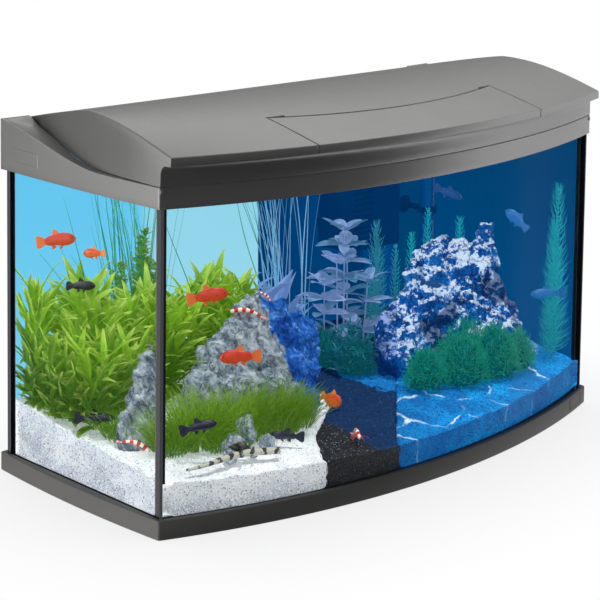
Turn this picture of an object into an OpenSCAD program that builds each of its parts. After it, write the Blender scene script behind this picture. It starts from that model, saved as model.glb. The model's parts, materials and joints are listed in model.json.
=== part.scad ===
// Bow-front glass aquarium: plastic base trim, bonded glass box, top frame,
// hinged hood with a feeding flap and a light unit, internal filter, heater,
// and a planted gravel bed. Millimetres, +Z up.
// Origin: centre of the whole object's footprint, on the resting plane.
// The flat rear is at +Y, the bowed front at -Y.

/* [Tank] */
// Width of the base trim at its front corners
tank_w = 765; // [740:5:790]
// How far the middle of the front stands out from its corners
bow = 68.6; // [60:0.1:75]
// Height of the base trim
base_h = 22.9; // [20:0.1:26]
// Glass thickness of the bent front pane
front_t = 6; // [5:0.5:8]
// Glass thickness of the flat panes
pane_t = 5; // [4:0.5:6]
// Top edge of the glass
glass_top = 392.9; // [380:0.1:392.9]

/* [Hood] */
// Bottom edge of the top frame's apron
apron_z0 = 374.6; // [365:0.1:380]
// Crest of the lid above the table
crest_z = 465.5; // [460:0.5:470]
// Wall thickness of the lid
wall = 2.5; // [2:0.1:3]
// Gap around the feeding flap
flap_gap = 1.2; // [1:0.1:2]

/* [Equipment] */
// Outer radius of the heater's glass tube
heater_r = 11; // [9:0.5:12]
// Radius of the pump's impeller
impeller_r = 10; // [8:0.5:11]

/* [Hidden] */
$fn = 96;
arc_facets = 720;       // for the large front and side arcs

// ---- common frame --------------------------------------------------------
function arc_radius(half_chord, rise) = (half_chord*half_chord + rise*rise)/(2*rise);

half_width = tank_w/2;
corner_y = -113;        // front corners of the base trim
rear_y = 188.6;
base_radius = arc_radius(half_width, bow);
arc_centre_y = corner_y - bow + base_radius;    // of every concentric front arc
rim_radius = base_radius - 3.5;
glass_radius = base_radius - 6.4;
glass_half = half_width - 5.2;
glass_rear = 180.8;
rear_pane_y = glass_rear - pane_t;      // inner face of the rear pane
side_len = rear_y - corner_y;
side_mid = (rear_y + corner_y)/2;

function arc_y(x, radius) = arc_centre_y - sqrt(radius*radius - x*x);
function side_radius(bulge) = arc_radius(side_len/2, bulge);

module box(at, size) translate(at) cube(size);
module ball(at, radius) translate(at) sphere(r = radius);
// cylinders that run from a point towards +X, +Y or +Z
module rod_x(at, radius, length) translate(at) rotate([0, 90, 0]) cylinder(r = radius, h = length);
module rod_y(at, radius, length) translate(at) rotate([-90, 0, 0]) cylinder(r = radius, h = length);
module rod_z(at, radius, length) translate(at) cylinder(r = radius, h = length);
// extrudes a [y, z] section along X
module section_x(x0, length)
    translate([x0, 0, 0]) rotate([90, 0, 90]) linear_extrude(length) children();
module both_sides() {
    children();
    mirror([1, 0, 0]) children();
}

// block with a cylindrical front, straight sides and a flat rear
module bow_block(half, radius, rear, z0, height, facets = arc_facets) intersection() {
    box([-half, -320, z0], [2*half, rear + 320, height]);
    translate([0, arc_centre_y, z0 - 1]) cylinder(r = radius, h = height + 2, $fn = facets);
}
// the same, with its sides bowed outwards
module bulged_block(half, bulge, radius, rear, z0, height, facets = arc_facets) {
    side_r = side_radius(bulge);
    intersection() {
        bow_block(half + bulge + 1, radius, rear, z0, height, facets);
        for (side = [1])
            translate([half + bulge - side_r, side_mid, z0 - 1])
                cylinder(r = side_r, h = height + 2, $fn = facets);
        translate([-(half + bulge - side_r), side_mid, z0 - 1])
            cylinder(r = side_r, h = height + 2, $fn = facets);
    }
}
// outline of the glass box, grown outwards
module glass_block(grow, z0, height)
    bow_block(glass_half + grow, glass_radius + grow, glass_rear + grow, z0, height);
// space between the panes, drawn in by an inset
module inside_panes(inset, z0, height)
    bow_block(glass_half - pane_t - inset, glass_radius - front_t - inset, rear_pane_y - inset,
        z0, height);
// cylinder of the front pane's inner face
module front_bore()
    translate([0, arc_centre_y, 0])
        cylinder(r = glass_radius - front_t, h = 500, $fn = arc_facets);

// ---- tank ----------------------------------------------------------------
ledge_z = 8;            // ledge in the base trim that carries the foam
floor_z = ledge_z + 2;  // underside of the bottom pane
floor_top = floor_z + 6;
pane_z = floor_top + 0.8;       // lower edge of the upright panes
pane_h = glass_top - pane_z;
side_y0 = -100.2;       // front and rear edges of the side panes
side_y1 = rear_pane_y - 1.2;
seam_z = 21;            // lower end of the corner seams
seam_h = glass_top - seam_z;

module base_frame() color("#3d3c39") difference() {
    bulged_block(half_width, 6.8, base_radius, rear_y, 0, base_h);
    glass_block(0.5, ledge_z, 60);
    glass_block(-17, -1, 60);
}
module foam_strip() color("#202224") difference() {
    glass_block(0.3, ledge_z, floor_z - ledge_z);
    glass_block(-15, ledge_z - 1, 4);
}
module bottom_pane() color("#9fc4bd", 0.5) glass_block(0, floor_z, floor_top - floor_z);
module front_pane() color("#9fc4bd", 0.4) difference() {
    intersection() {
        bow_block(glass_half, glass_radius, 100, pane_z, pane_h);
        box([-500, -320, 0], [1000, 260, 500]);
    }
    front_bore();
}
module side_pane()
    box([glass_half - pane_t, side_y0, pane_z], [pane_t, side_y1 - side_y0, pane_h]);
module right_pane() color("#9fc4bd", 0.4) side_pane();
module left_pane() color("#9fc4bd", 0.4) mirror([1, 0, 0]) side_pane();
module rear_pane() color("#9fc4bd", 0.4)
    box([-glass_half, rear_pane_y, pane_z], [2*glass_half, pane_t, pane_h]);

module corner_pair() {
    inner_x = glass_half - pane_t;
    // front: bond between the panes and a bead inside
    intersection() {
        translate([0, 0, seam_z]) linear_extrude(seam_h) polygon([
            [inner_x - 7, -130], [glass_half, -130], [glass_half, side_y0],
            [inner_x, side_y0], [inner_x, side_y0 + 4.5], [inner_x - 5, -100]]);
        front_bore();
    }
    // rear: bond and a broad bead
    translate([0, 0, seam_z]) linear_extrude(seam_h) polygon([
        [glass_half, rear_pane_y], [inner_x - 3, rear_pane_y],
        [inner_x - 1, rear_pane_y - 2.5], [inner_x, rear_pane_y - 4.6],
        [inner_x, side_y1], [glass_half, side_y1]]);
}
module corner_seams() color("#17191b") both_sides() corner_pair();
module bottom_seam() color("#17191b") difference() {
    glass_block(0, floor_top, 4.8);
    difference() {  // the panes stand on the lowest 0.8 mm of it
        glass_block(1, pane_z, 10);
        inside_panes(0, pane_z - 1, 12);
    }
    inside_panes(4, 10, 20);
}
module backdrop_film() color("#1b6fae") box([-370, glass_rear + 0.1, 23.5], [740, 0.5, 360]);

// ---- hood surfaces -------------------------------------------------------
// "depth" runs from the front corners of the base (0) to the rear face
hood_depth = rear_y - corner_y;
lip_half = 378;         // half width of the lid's front lip
lip_bow = 63.4;
lip_overhang = 12.3;    // lip's corners in front of the base's corners
lip_radius = arc_radius(lip_half, lip_bow);
lip_centre_y = corner_y - lip_overhang - lip_bow + lip_radius;
lip_top = crest_z - 31;
lid_half = 380.4;       // half width of the lid's lower edge at depth 0
lid_bottom = 399.9;
levels = 6;             // steps from the lid's top edge (0) to its bottom edge (6)

function lip_y(x) = lip_centre_y - sqrt(lip_radius*lip_radius - x*x);
function smooth(t) = let (s = min(1, max(0, t))) s*s*(3 - 2*s);

// lid height; u = -1..1 across, v = 0..1 front to rear
function crest_at(u) = 0.56 - 0.06*u*u;
function top_z(u, v) = v < crest_at(u)
    ? lip_top + (crest_z - lip_top)*sin(90*v/crest_at(u))
    : crest_z - (crest_z - lip_top)*pow((v - crest_at(u))/(1 - crest_at(u)), 1.15);
// half width of the lower edge: straight over the last 19 mm,
// so that the lid's rear can swing inside the frame
function edge_x(depth) = lid_half - 48.2*pow(min(283, max(0, depth))/300, 1.9);
// the frame stands a little further off beside the hinge end
function edge_gap(depth) = 1 + smooth((depth - 225)/50);
// half width of the top edge
function arch_x(depth) =
    min(lip_half - 38*pow(max(0, depth + lip_overhang)/314, 2), edge_x(depth));
// inner and outer height of the frame's wings
function wing_inner_z(depth) = 399.2 + 33*smooth((depth - 95)/220);
function wing_outer_z(depth) = 399.3 + 38*smooth((depth - 100)/220);
// bottom edge of the lid
function skirt_z(depth) = min(414.5, max(lid_bottom, wing_inner_z(depth) - 4));

// profile of the front lip by level, for the outer (inset = 0) or inner skin;
// rim is the rim arc's distance behind the lip
function lip_dy(level, rim, inset) = (inset == 0
    ? [0, 0, rim - 7, rim - 3.2, rim - 1, rim, rim]
    : [inset, inset, rim - 6.4, rim - 2.2, rim + 1, rim + inset, rim + inset])[level];
function lip_z(level, inset) = (inset == 0
    ? [lip_top, lip_top - 10.3, lip_top - 10.4, lip_top - 12, lip_top - 15, lip_top - 19.5,
        lid_bottom]
    : [lip_top - inset, lip_top - 8.1, lip_top - 8.2, lip_top - 9.6, lip_top - 12.6,
        lip_top - 18.5, 392])[level];
function front_y(u, level, inset) =
    let (x = u*(lip_half + (lid_half - lip_half)*level/levels),
         rim = arc_y(x, rim_radius) - lip_y(u*lip_half))
    lip_y(u*lip_half) + lip_dy(level, rim, inset);
function side_x(depth, level, inset) =
    edge_x(depth) + (arch_x(depth) - edge_x(depth))*(1 - level/levels) - inset;
// point on the lid's skin; the lip's profile fades into an even drop towards the rear
function skin(u, v, level, inset) =
    let (start = front_y(u, level, inset),
         y = start + v*(rear_y - inset - start),
         depth = y - corner_y,
         top = top_z(u, v) - inset,
         bottom = skirt_z(depth) - (inset > 0 ? 8 : 0),
         drop = level == 0 ? 0 : level == levels ? 1
            : (lip_z(0, inset) - lip_z(level, inset))/(lip_z(0, inset) - lip_z(levels, inset)),
         fraction = drop + (level/levels - drop)*min(1, v*4))
    [u*side_x(depth, level, inset), y, top + (bottom - top)*fraction];

// triangles of a patch given as rows of points, numbered from first
function patch_faces(rows, cols, first, flip) = [for (r = [0:rows - 2], c = [0:cols - 2])
    let (a = first + r*cols + c, b = a + 1, d = a + cols, e = d + 1)
    each (flip ? [[a, d, e], [a, e, b]] : [[a, e, d], [a, b, e]])];

// one skin of the lid as a closed box-like surface of six patches
module skin_solid(inset) {
    across = 22;
    along = 14;
    us = [for (i = [0:across]) let (s = i/across*2 - 1) sign(s)*(1 - pow(1 - abs(s), 1.25))];
    vs = [for (j = [0:along]) pow(j/along, 1.15)];
    top = [for (v = vs, u = us) skin(u, v, 0, inset)];
    bottom = [for (v = vs, u = us) skin(u, v, levels, inset)];
    front = [for (k = [0:levels], u = us) skin(u, 0, k, inset)];
    rear = [for (k = [0:levels], u = us) skin(u, 1, k, inset)];
    left = [for (k = [0:levels], v = vs) skin(-1, v, k, inset)];
    right = [for (k = [0:levels], v = vs) skin(1, v, k, inset)];
    front_at = 2*len(top);
    rear_at = front_at + len(front);
    left_at = rear_at + len(rear);
    right_at = left_at + len(left);
    polyhedron(concat(top, bottom, front, rear, left, right), concat(
        patch_faces(along + 1, across + 1, 0, true),
        patch_faces(along + 1, across + 1, len(top), false),
        patch_faces(levels + 1, across + 1, front_at, false),
        patch_faces(levels + 1, across + 1, rear_at, true),
        patch_faces(levels + 1, along + 1, left_at, true),
        patch_faces(levels + 1, along + 1, right_at, false)), convexity = 6);
}

// ---- positions shared between parts --------------------------------------
hinge_x = 290;          // middle of each lid hinge
hinge_y = 178;          // hinge axis
hinge_z = 424;
hinge_pin_r = 2;
hinge_screw_y = 172;
lamp_half = 300;        // half length of the light unit's housing
lamp_cable_x = lamp_half + 22;
filter_at = [140, 106, 205];    // lower front left corner of the filter
pump_cable_x = filter_at[0] + 104.6;
heater_x = 326;
heater_y = 132;
cable_r = 3;

// ---- feeding flap and lid ------------------------------------------------
flap_half = 197;
flap_pin_r = 1;
function flap_rear(x) = corner_y - 1 + 27.7*pow(x/flap_half, 2);
flap_axis_y = flap_rear(flap_half) - 3;
flap_axis_z = top_z(flap_half/lip_half, 0.2367) - 3;

// outline of the flap, grown at its sides and rear
module flap_prism(side_grow, rear_grow, z0) translate([0, 0, z0]) linear_extrude(120)
    polygon(concat([[-flap_half - side_grow, -240], [flap_half + side_grow, -240]],
        [for (i = [0:16]) let (x = (flap_half + side_grow)*(1 - i/8))
            [x, flap_rear(x) + rear_grow]]));
// clearance from 12 below the flap's axis to rise above it
module flap_pocket(x0, x1, reach, rise) both_sides()
    box([x0, flap_axis_y - reach, flap_axis_z - 12], [x1 - x0, 2*reach, 12 + rise]);
module flap_rod(x0, radius, length) rod_x([x0, flap_axis_y, flap_axis_z], radius, length);

// resize([0, 0, 0]) leaves every size as it is
module lid_shell() color("#5b5b58") resize([0, 0, 0]) difference() {
    skin_solid(0);
    skin_solid(wall);
    flap_prism(flap_gap, 2*flap_gap, 423.8);
    // room behind the flap's rear corners
    corner_x = flap_half + flap_gap + 0.7;
    both_sides() translate([0, flap_axis_y, flap_axis_z - 8]) linear_extrude(30)
        polygon([[170, -5], [172.5, 3.3], [corner_x, 4.8], [corner_x, -5]]);
    flap_pocket(198.5, 208.5, 2.5, 1.5);
    // slots in the rear wall that let it swing past the hinge brackets
    both_sides() box([hinge_x - 13.5, rear_y - 4, 400], [27, 8, 30.5]);
    // way out for the light unit's cable
    rod_y([lamp_cable_x, rear_y - 20, 420], 5, 40);
}
module feeding_flap() color("#5f5f5c") resize([0, 0, 0]) intersection() {
    difference() {
        skin_solid(0);
        skin_solid(2);
        flap_pocket(183, 200, 2.2, 2.05);
        // finger recess under the lip
        translate([0, lip_y(0) + 8, 421]) cylinder(r = 4, h = 5.5, $fn = 24);
    }
    flap_prism(0, 0, 424.05);
}
module flap_bushes() color("#2a2b2c") both_sides() difference() {
    flap_rod(184, 2, 12.8);
    flap_rod(180, flap_pin_r + 0.04, 20);
}
module flap_pins() color("#c9ccce") both_sides() flap_rod(184.4, flap_pin_r, 22.6);
module flap_lugs() color("#3a3b3b") both_sides() difference() {
    box([199.6, flap_axis_y - 2.4, flap_axis_z - 8], [8.6, 4.8, 9.4]);
    flap_rod(190, flap_pin_r + 0.03, 30);
}

// ---- top frame -----------------------------------------------------------
frame_half = 380.9;
frame_bulge = 3.3;
frame_top = 399.4;
frame_wall = 2.5;
frame_facets = 288;
web_z = 393;            // underside of the web that lies over the glass
web_top = web_z + 2.5;

function rim_x(y) = let (radius = side_radius(frame_bulge))
    frame_half + frame_bulge - radius + sqrt(radius*radius - pow(y - side_mid, 2));
module frame_block(inset, z0, height)
    bulged_block(frame_half - inset, frame_bulge, rim_radius - inset, rear_y - inset,
        z0, height, frame_facets);

// side wing: outer wall rising to the rear, shoulder, and inner upstand
module wing() {
    steps = 18;
    start = 92;
    base_z = 398.9;
    rings = [for (i = [0:steps])
        let (depth = start + (hood_depth - start)*i/steps, y = depth + corner_y,
            outer = rim_x(y), inner = edge_x(depth) + edge_gap(depth),
            outer_z = max(wing_outer_z(depth), frame_top),
            inner_z = max(wing_inner_z(depth), frame_top),
            inner_t = min(2.5, (outer - inner)*0.45))
        each [[outer, y, base_z], [outer, y, outer_z], [inner, y, inner_z],
            [inner, y, base_z - 5.5], [inner + inner_t, y, base_z - 5.5],
            [inner + inner_t, y, max(inner_z - 2.5, base_z + 0.1)],
            [outer - 2.5, y, max(outer_z - 2.5, base_z + 0.2)], [outer - 2.5, y, base_z]]];
    count = 8;          // points in each ring
    polyhedron(rings, concat(
        [[for (k = [0:count - 1]) count - 1 - k]],
        [[for (k = [0:count - 1]) steps*count + k]],
        [for (i = [0:steps - 1], k = [0:count - 1])
            let (a = i*count + k, b = i*count + (k + 1) % count)
            each [[a, b + count, a + count], [a, b, b + count]]]), convexity = 8);
}
module web_opening() {
    sides = [for (i = [0:10]) let (depth = 30 + 238*i/10) [edge_x(depth) - 10.5, corner_y + depth]];
    translate([0, 0, web_z - 2]) linear_extrude(8) polygon(concat(
        [for (i = [0:24]) let (x = -362 + 724*i/24) [x, arc_y(x, rim_radius - 17)]],
        sides,
        [for (i = [10:-1:0]) [-sides[i][0], sides[i][1]]]));
}
module at_hinge_screws()
    for (offset_x = [-15.6, 15.6]) translate([hinge_x + offset_x, hinge_screw_y, 0]) children();
module top_frame() color("#565653") resize([0, 0, 0]) difference() {
    union() {
        difference() {
            frame_block(0, apron_z0, frame_top - apron_z0);
            // these two leave the web between them
            frame_block(frame_wall, apron_z0 - 1, web_z + 1 - apron_z0);
            frame_block(frame_wall, web_top, 20);
            web_opening();
        }
        box([-378, rear_y - frame_wall, 398], [756, frame_wall, 12.5]);
        both_sides() wing();
        // rear ends of the wings
        both_sides() translate([339.4, rear_y - frame_wall, 398])
            linear_extrude(32) square([38.5, frame_wall]);
    }
    // cable notches in the rear wall
    for (x = [pump_cable_x, heater_x]) box([x - 6, rear_y - 6, 397.5], [12, 12, 20]);
    both_sides() at_hinge_screws() rod_z([0, 0, 380], 1.55, 20);
}

// ---- lid hinge -----------------------------------------------------------
module hinge_rod(half, radius)
    rod_x([hinge_x - half, hinge_y, hinge_z], radius, 2*half);
module hinge_brackets() color("#2e2f30") both_sides() difference() {
    union() {
        box([hinge_x - 20, 158.2, web_top], [40, 27, 3]);
        for (x = [hinge_x - 12, hinge_x + 8]) {
            box([x, hinge_y - 6, web_z + 5], [4, 12, hinge_z - web_z - 5]);
            rod_x([x, hinge_y, hinge_z], 6, 4);
        }
    }
    hinge_rod(30, hinge_pin_r + 0.03);
    at_hinge_screws() rod_z([0, 0, 380], 1.55, 30);
}
module hinge_screws() color("#b9bcbe") both_sides() at_hinge_screws() {
    rod_z([0, 0, 391], 1.5, 7.6);
    difference() {
        rod_z([0, 0, 398.55], 2.8, 1.8);
        for (a = [0, 90]) rotate([0, 0, a]) box([-2, -0.4, 399.5], [4, 0.8, 2]);
    }
}
module hinge_pins() color("#c9ccce") both_sides() hinge_rod(13, hinge_pin_r);
module hinge_arms() color("#2e2f30") both_sides() difference() {
    union() {
        hinge_rod(7, 5.5);
        section_x(hinge_x - 7, 14) polygon([
            [hinge_y, hinge_z - 4.5], [hinge_y, hinge_z + 5.4], [166, 436], [150, 439],
            [134, 441.8], [134, 437], [150, 431], [166, 422]]);
    }
    hinge_rod(20, hinge_pin_r + 0.04);
}

// ---- light unit in the lid -----------------------------------------------
button_x = 262;
button_z = 439;
button_r = 4;
lamp_cable_y = 8;       // where the cable leaves the end cap
lamp_cable_z = 441;
lamp_bend = [lamp_cable_x, 150, 428];   // second bend of the cable

module lamp_housing() color("#2b2d2f") difference() {
    box([-lamp_half, -42, 428], [2*lamp_half, 72, 24]);
    box([-lamp_half - 1, -40, 427], [2*lamp_half + 2, 68, 23]);
    rod_y([button_x, -60, button_z], button_r + 0.06, 40);
}
module lamp_reflector() color("#d8dadb") section_x(-lamp_half + 4, 2*lamp_half - 8) polygon([
    [-39.8, 431], [-39.8, 449.8], [27.8, 449.8], [27.8, 431],
    [27.2, 431], [19, 449], [-31, 449], [-39.2, 431]]);
module led_board() color("#e9ebe6")
    box([-lamp_half + 10, -24, 447.3], [2*lamp_half - 20, 36, 1.6]);
// one row of square LEDs
module leds(y, count, size) {
    pitch = (2*lamp_half - 48)/(count - 1);
    for (i = [0:count - 1])
        box([-lamp_half + 24 + i*pitch - size/2, y - size/2, 446], [size, size, 1.3]);
}
module day_leds() color("#fff6d8") {
    leds(-15, 36, 5);
    leds(3, 36, 5);
}
module night_leds() color("#3d7bff") leds(-6, 18, 4);
module lamp_lens() color("#dfe9ee", 0.6)
    box([-lamp_half + 4, -39.9, 428.3], [2*lamp_half - 8, 67.8, 2]);
module lamp_end_caps() color("#232527") both_sides() difference() {
    union() {
        box([lamp_half + 0.1, -43, 427], [6, 74, 26]);
        box([lamp_half - 3.6, -39, 431.5], [4, 0.6, 0.6]);
    }
    rod_x([lamp_half - 1, lamp_cable_y, lamp_cable_z], cable_r + 0.05, 20);
}
// strap that carries the unit under the lid's skin
module lamp_brackets() color("#44474a") both_sides() section_x(200, 14) difference() {
    polygon([[-44, 436], [-44, 453.6], [-20, 456.5], [10, 457], [32, 454.5], [32, 436]]);
    polygon([[-42.1, 430], [-42.1, 452.1], [30.1, 452.1], [30.1, 430]]);
}
module mode_button() color("#8f9498") rod_y([button_x, -44.6, button_z], button_r, 3);
// cable with a rounded start, falling by drop over run towards the rear
module falling_cable(at, run, drop) {
    ball(at, 3.4);
    translate(at) rotate([-90 - atan(drop/run), 0, 0]) cylinder(r = cable_r, h = norm([drop, run]));
}
module lamp_cable() color("#151617") {
    rod_x([lamp_half + 1, lamp_cable_y, lamp_cable_z], cable_r, 21);
    falling_cable([lamp_cable_x, lamp_cable_y, lamp_cable_z],
        lamp_bend[1] - lamp_cable_y, lamp_cable_z - lamp_bend[2]);
    falling_cable(lamp_bend, 38, 8);
}

// ---- rocks ---------------------------------------------------------------
// centre x, centre y, half length, half width, turn, seed of the uneven outline
left_rock = [-132, 12, 118, 42, 2, 3];
side_stone = [-319, 4, 32, 20, 6, 7];
right_rock = [222, -4, 112, 46, -3, 11];
rock_z = floor_top + 0.1;

function rock_points(rock, grow, scaling = 1) =
    let (corners = 11, turn = rock[4], seed = rock[5])
    [for (i = [0:corners - 1])
        let (a = 360*i/corners,
            uneven = 1 + 0.045*sin(a*3 + seed*40) + 0.018*cos(a*5 + seed*17),
            x = (rock[2]*uneven*scaling + grow)*cos(a),
            y = (rock[3]*uneven*scaling + grow)*sin(a))
        [rock[0] + x*cos(turn) - y*sin(turn), rock[1] + x*sin(turn) + y*cos(turn)]];
module rock_prism(rock, grow, z0, height)
    translate([0, 0, z0]) linear_extrude(height) polygon(rock_points(rock, grow));
module rock_slice(rock, scaling, dx, dy, z)
    translate([dx, dy, z]) linear_extrude(3) polygon(rock_points(rock, 0, scaling));

module rock_left() color("#8d99a3") union() {
    hull() {
        rock_prism(left_rock, 0, rock_z, 88);
        rock_slice(left_rock, 0.75, 0, 1, 138);
        rock_slice(left_rock, 0.3, 4, 3, 188);
        rock_slice(left_rock, 0.08, 4, 4, 209);
        rock_slice(left_rock, 0.34, 79, 0, 156);
    }
    // slim side stone by the left pane
    hull() {
        rock_prism(side_stone, 0, rock_z, 64);
        rock_slice(side_stone, 0.5, 15, 0, 140);
        rock_slice(side_stone, 0.15, 24, 1, 184);
    }
}
module rock_right() color("#2f7cc4") union() {
    hull() {
        rock_prism(right_rock, 0, rock_z, 70);
        rock_slice(right_rock, 0.93, 0, 0, 140);
        rock_slice(right_rock, 0.62, 6, 4, 196);
    }
    // left peak
    hull() {
        rock_slice(right_rock, 0.6, -28, 2, 120);
        rock_slice(right_rock, 0.34, -36, 4, 204);
        rock_slice(right_rock, 0.16, -24, 4, 232);
    }
    // right peak
    hull() {
        rock_slice(right_rock, 0.5, 46, 2, 120);
        rock_slice(right_rock, 0.3, 66, 4, 200);
        rock_slice(right_rock, 0.12, 82, 5, 238);
    }
}
// x, y, radius
pebble_table = [[-250, -88, 12], [-218, -76, 15], [-268, -106, 9],
    [-198, -96, 8], [-236, -110, 7], [-78, -46, 13]];
module pebbles() color("#a9b1b6") for (p = pebble_table)
    ball([p[0], p[1], 60 + (p[1] + 100)*0.15 + p[2] + 1.5], p[2]);

// ---- gravel bed ----------------------------------------------------------
module gravel_body() difference() {
    intersection() {
        inside_panes(0.4, 21.3, 90);
        // surface rising to the rear
        section_x(-400, 800) polygon([
            [-200, 0], [-200, 45], [-100, 60], [0, 71], [200, 92], [200, 0]]);
    }
    // room for the beads in the glass corners
    both_sides() {
        box([360, -120, 0], [40, 27, 200]);
        box([364.5, 158, 0], [40, 40, 200]);
    }
    for (rock = [left_rock, side_stone, right_rock]) rock_prism(rock, 0.6, 0, 200);
}
// borders between the colours, [x, y] from front to rear
white_black = [[-176, -300], [-176, -170], [-120, -95], [-40, -40], [-10, 20], [30, 90], [60, 300]];
black_blue = [[-90, -300], [-90, -200], [354, 215], [354, 300]];
border_gap = 0.2;       // on each side of a border
function shift_x(points, dx) = [for (p = points) [p[0] + dx, p[1]]];
function reversed(points) = [for (i = [len(points) - 1:-1:0]) points[i]];
module gravel_part(outline) intersection() {
    gravel_body();
    linear_extrude(200) polygon(outline);
}
module gravel_white() color("#dfe2e4")
    gravel_part(concat(shift_x(white_black, -border_gap), [[-500, 300], [-500, -300]]));
module gravel_black() color("#23262c")
    gravel_part(concat(shift_x(black_blue, -border_gap),
        reversed(shift_x(white_black, border_gap))));
module gravel_blue() color("#1f6fc0")
    gravel_part(concat(shift_x(black_blue, border_gap), [[500, 300], [500, -300]]));

// ---- plants, as plain envelopes ------------------------------------------
// each stalk: x, y, z, radius, height
module stalks(table) for (s = table) rod_z([s[0], s[1], s[2]], s[3], s[4]);
module plant_broadleaf() color("#4f9d35") stalks([
    [-300, 128, 90, 40, 185], [-215, 96, 87, 34, 170], [-338, 62, 84, 30, 125],
    [-95, 100, 87, 34, 170], [-5, 98, 87, 28, 115]]);
module plant_vallisneria() color("#3c8a5a") stalks([
    [-178, 152, 91, 19, 280], [-248, 158, 91, 13, 280], [45, 142, 91, 22, 280]]);
module plant_grass() color("#7dbb2e") stalks([
    [-262, -40, 70, 25, 60], [-205, -46, 69, 14.5, 60], [-152, -62, 68, 24, 56]]);
module plant_stems() color("#6b86c8") stalks([
    [100, 72, 86, 28, 178], [40, 60, 83, 19, 70], [68, 18, 78, 22, 60]]);
module plant_feather() color("#1f9aa6") stalks([
    [165, 76, 86, 18, 150], [345, 44, 82, 17, 190], [343, -88, 68, 17, 250]]);
module plant_moss() color("#157a80") stalks([
    [110, -66, 68, 23, 50], [165, -80, 66, 27, 56], [222, -86, 66, 27, 58],
    [272, -84, 66, 20, 48]]);

// ---- internal filter -----------------------------------------------------
filter_x = filter_at[0];
filter_y = filter_at[1];
filter_z = filter_at[2];
pump_x = filter_x + 75;
pump_y = filter_y + 30;
outlet_z = 344;
outlet_r = 7;
outlet_bore = 5.2;
spout_at = [pump_x, filter_y - 9, outlet_z];    // ball joint of the outlet
module pump_rod(z0, radius, height) rod_z([pump_x, pump_y, z0], radius, height);

module filter_housing() color("#20262d") difference() {
    box(filter_at, [100, 60, 170]);
    for (x = [2, 51]) box(filter_at + [x, 2, 2], [47, 56, 200]);
    // inlet slots at the front, then openings between the chambers
    for (i = [0:8]) box(filter_at + [8, -1, 14 + i*8], [36, 4, 3.2]);
    for (i = [0:2]) box(filter_at + [48, 20, 10 + i*10], [4, 20, 5]);
    rod_y([pump_x, filter_y - 1, outlet_z], 9.06, 4);
}
module filter_cover() color("#2a3139") difference() {
    union() {
        box([filter_x - 1, filter_y - 1, 375.1], [102, 62, 3]);
        translate([filter_x + 4, filter_y + 4, 371]) difference() {
            cube([43, 52, 4.5]);
            box([2, 2, -1], [39, 48, 8]);
        }
    }
    pump_rod(370, 3.05, 20);
    for (i = [0:4]) box([filter_x + 10 + i*7, filter_y + 10, 374], [3, 40, 8]);
}
module filter_cartridge() color("#4a5a66") difference() {
    box(filter_at + [3, 3, 2.2], [45, 54, 150]);
    box(filter_at + [7, -2, 8], [37, 64, 138]);
}
module filter_sponge() color("#2f6f8f") box(filter_at + [7.1, 3.2, 8.1], [36.8, 53.6, 137.8]);
module pump_body() color("#15181b") difference() {
    box([pump_x - 20, pump_y - 20, 300], [40, 40, 56]);
    pump_rod(299, impeller_r + 2, 27);
    pump_rod(325, 1.5, 9);
    rod_y([pump_x, pump_y - 30, outlet_z], outlet_r + 0.06, 18);
    box([pump_x + 5, pump_y - 16, 324.5], [4, 12, 12]);
}
module impeller_shaft() color("#e4e4df") pump_rod(303, 1.45, 30.9);
module impeller() color("#3f4750") difference() {
    union() {
        pump_rod(305, 7, 11);
        for (a = [0:60:359]) translate([pump_x, pump_y, 316]) rotate([0, 0, a])
            box([1.6, -0.6, -0.01], [impeller_r - 1.8, 1.2, 6]);
        pump_rod(315.9, 3.5, 6.1);
    }
    pump_rod(300, 1.51, 40);
}
// ball and the spout that points forwards and down from it
module spout(ball_r, radius, length) {
    ball(spout_at, ball_r);
    translate(spout_at) rotate([118, 0, 0]) cylinder(r = radius, h = length);
}
module outlet_nozzle() color("#1b2026") difference() {
    union() {
        rod_y([pump_x, filter_y - 8, outlet_z], outlet_r, 24);
        rod_y(spout_at, 10, 8.8);
        spout(8, outlet_r, 24);
    }
    rod_y(spout_at, outlet_bore, 40);
    spout(5.8, outlet_bore, 40);
}
module flow_knob() color("#3b4650") union() {
    pump_rod(366, 3, 12.6);
    difference() {
        pump_rod(378.4, 10, 7);
        box([pump_x - 1, pump_y - 12, 383.6], [2, 12, 4]);
    }
}
// suction cup on the rear pane, facing forwards
module suction_cup(x, z) translate([x, rear_pane_y - 0.1, z]) rotate([90, 0, 0]) {
    cylinder(r1 = 13, r2 = 5, h = 5);
    cylinder(r = 4, h = 9.5);
}
module filter_suction_cups() color("#2c3238")
    for (x = [filter_x + 20, filter_x + 80], z = [filter_z + 30, filter_z + 140])
        suction_cup(x, z);
// cable that rises from a point and leaves over the rear edge
module rising_cable(at) {
    bend = [at[0], at[1], 402];
    ball(at, cable_r);
    rod_z(at, cable_r, bend[2] - at[2]);
    ball(bend, cable_r);
    rod_y(bend, cable_r, rear_y - at[1]);
}
module pump_cable() color("#101113") rising_cable([pump_cable_x, 148, 330]);

// ---- heater --------------------------------------------------------------
heater_cable_z = 364;
module heater_rod(z0, radius, height) rod_z([heater_x, heater_y, z0], radius, height);

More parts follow.
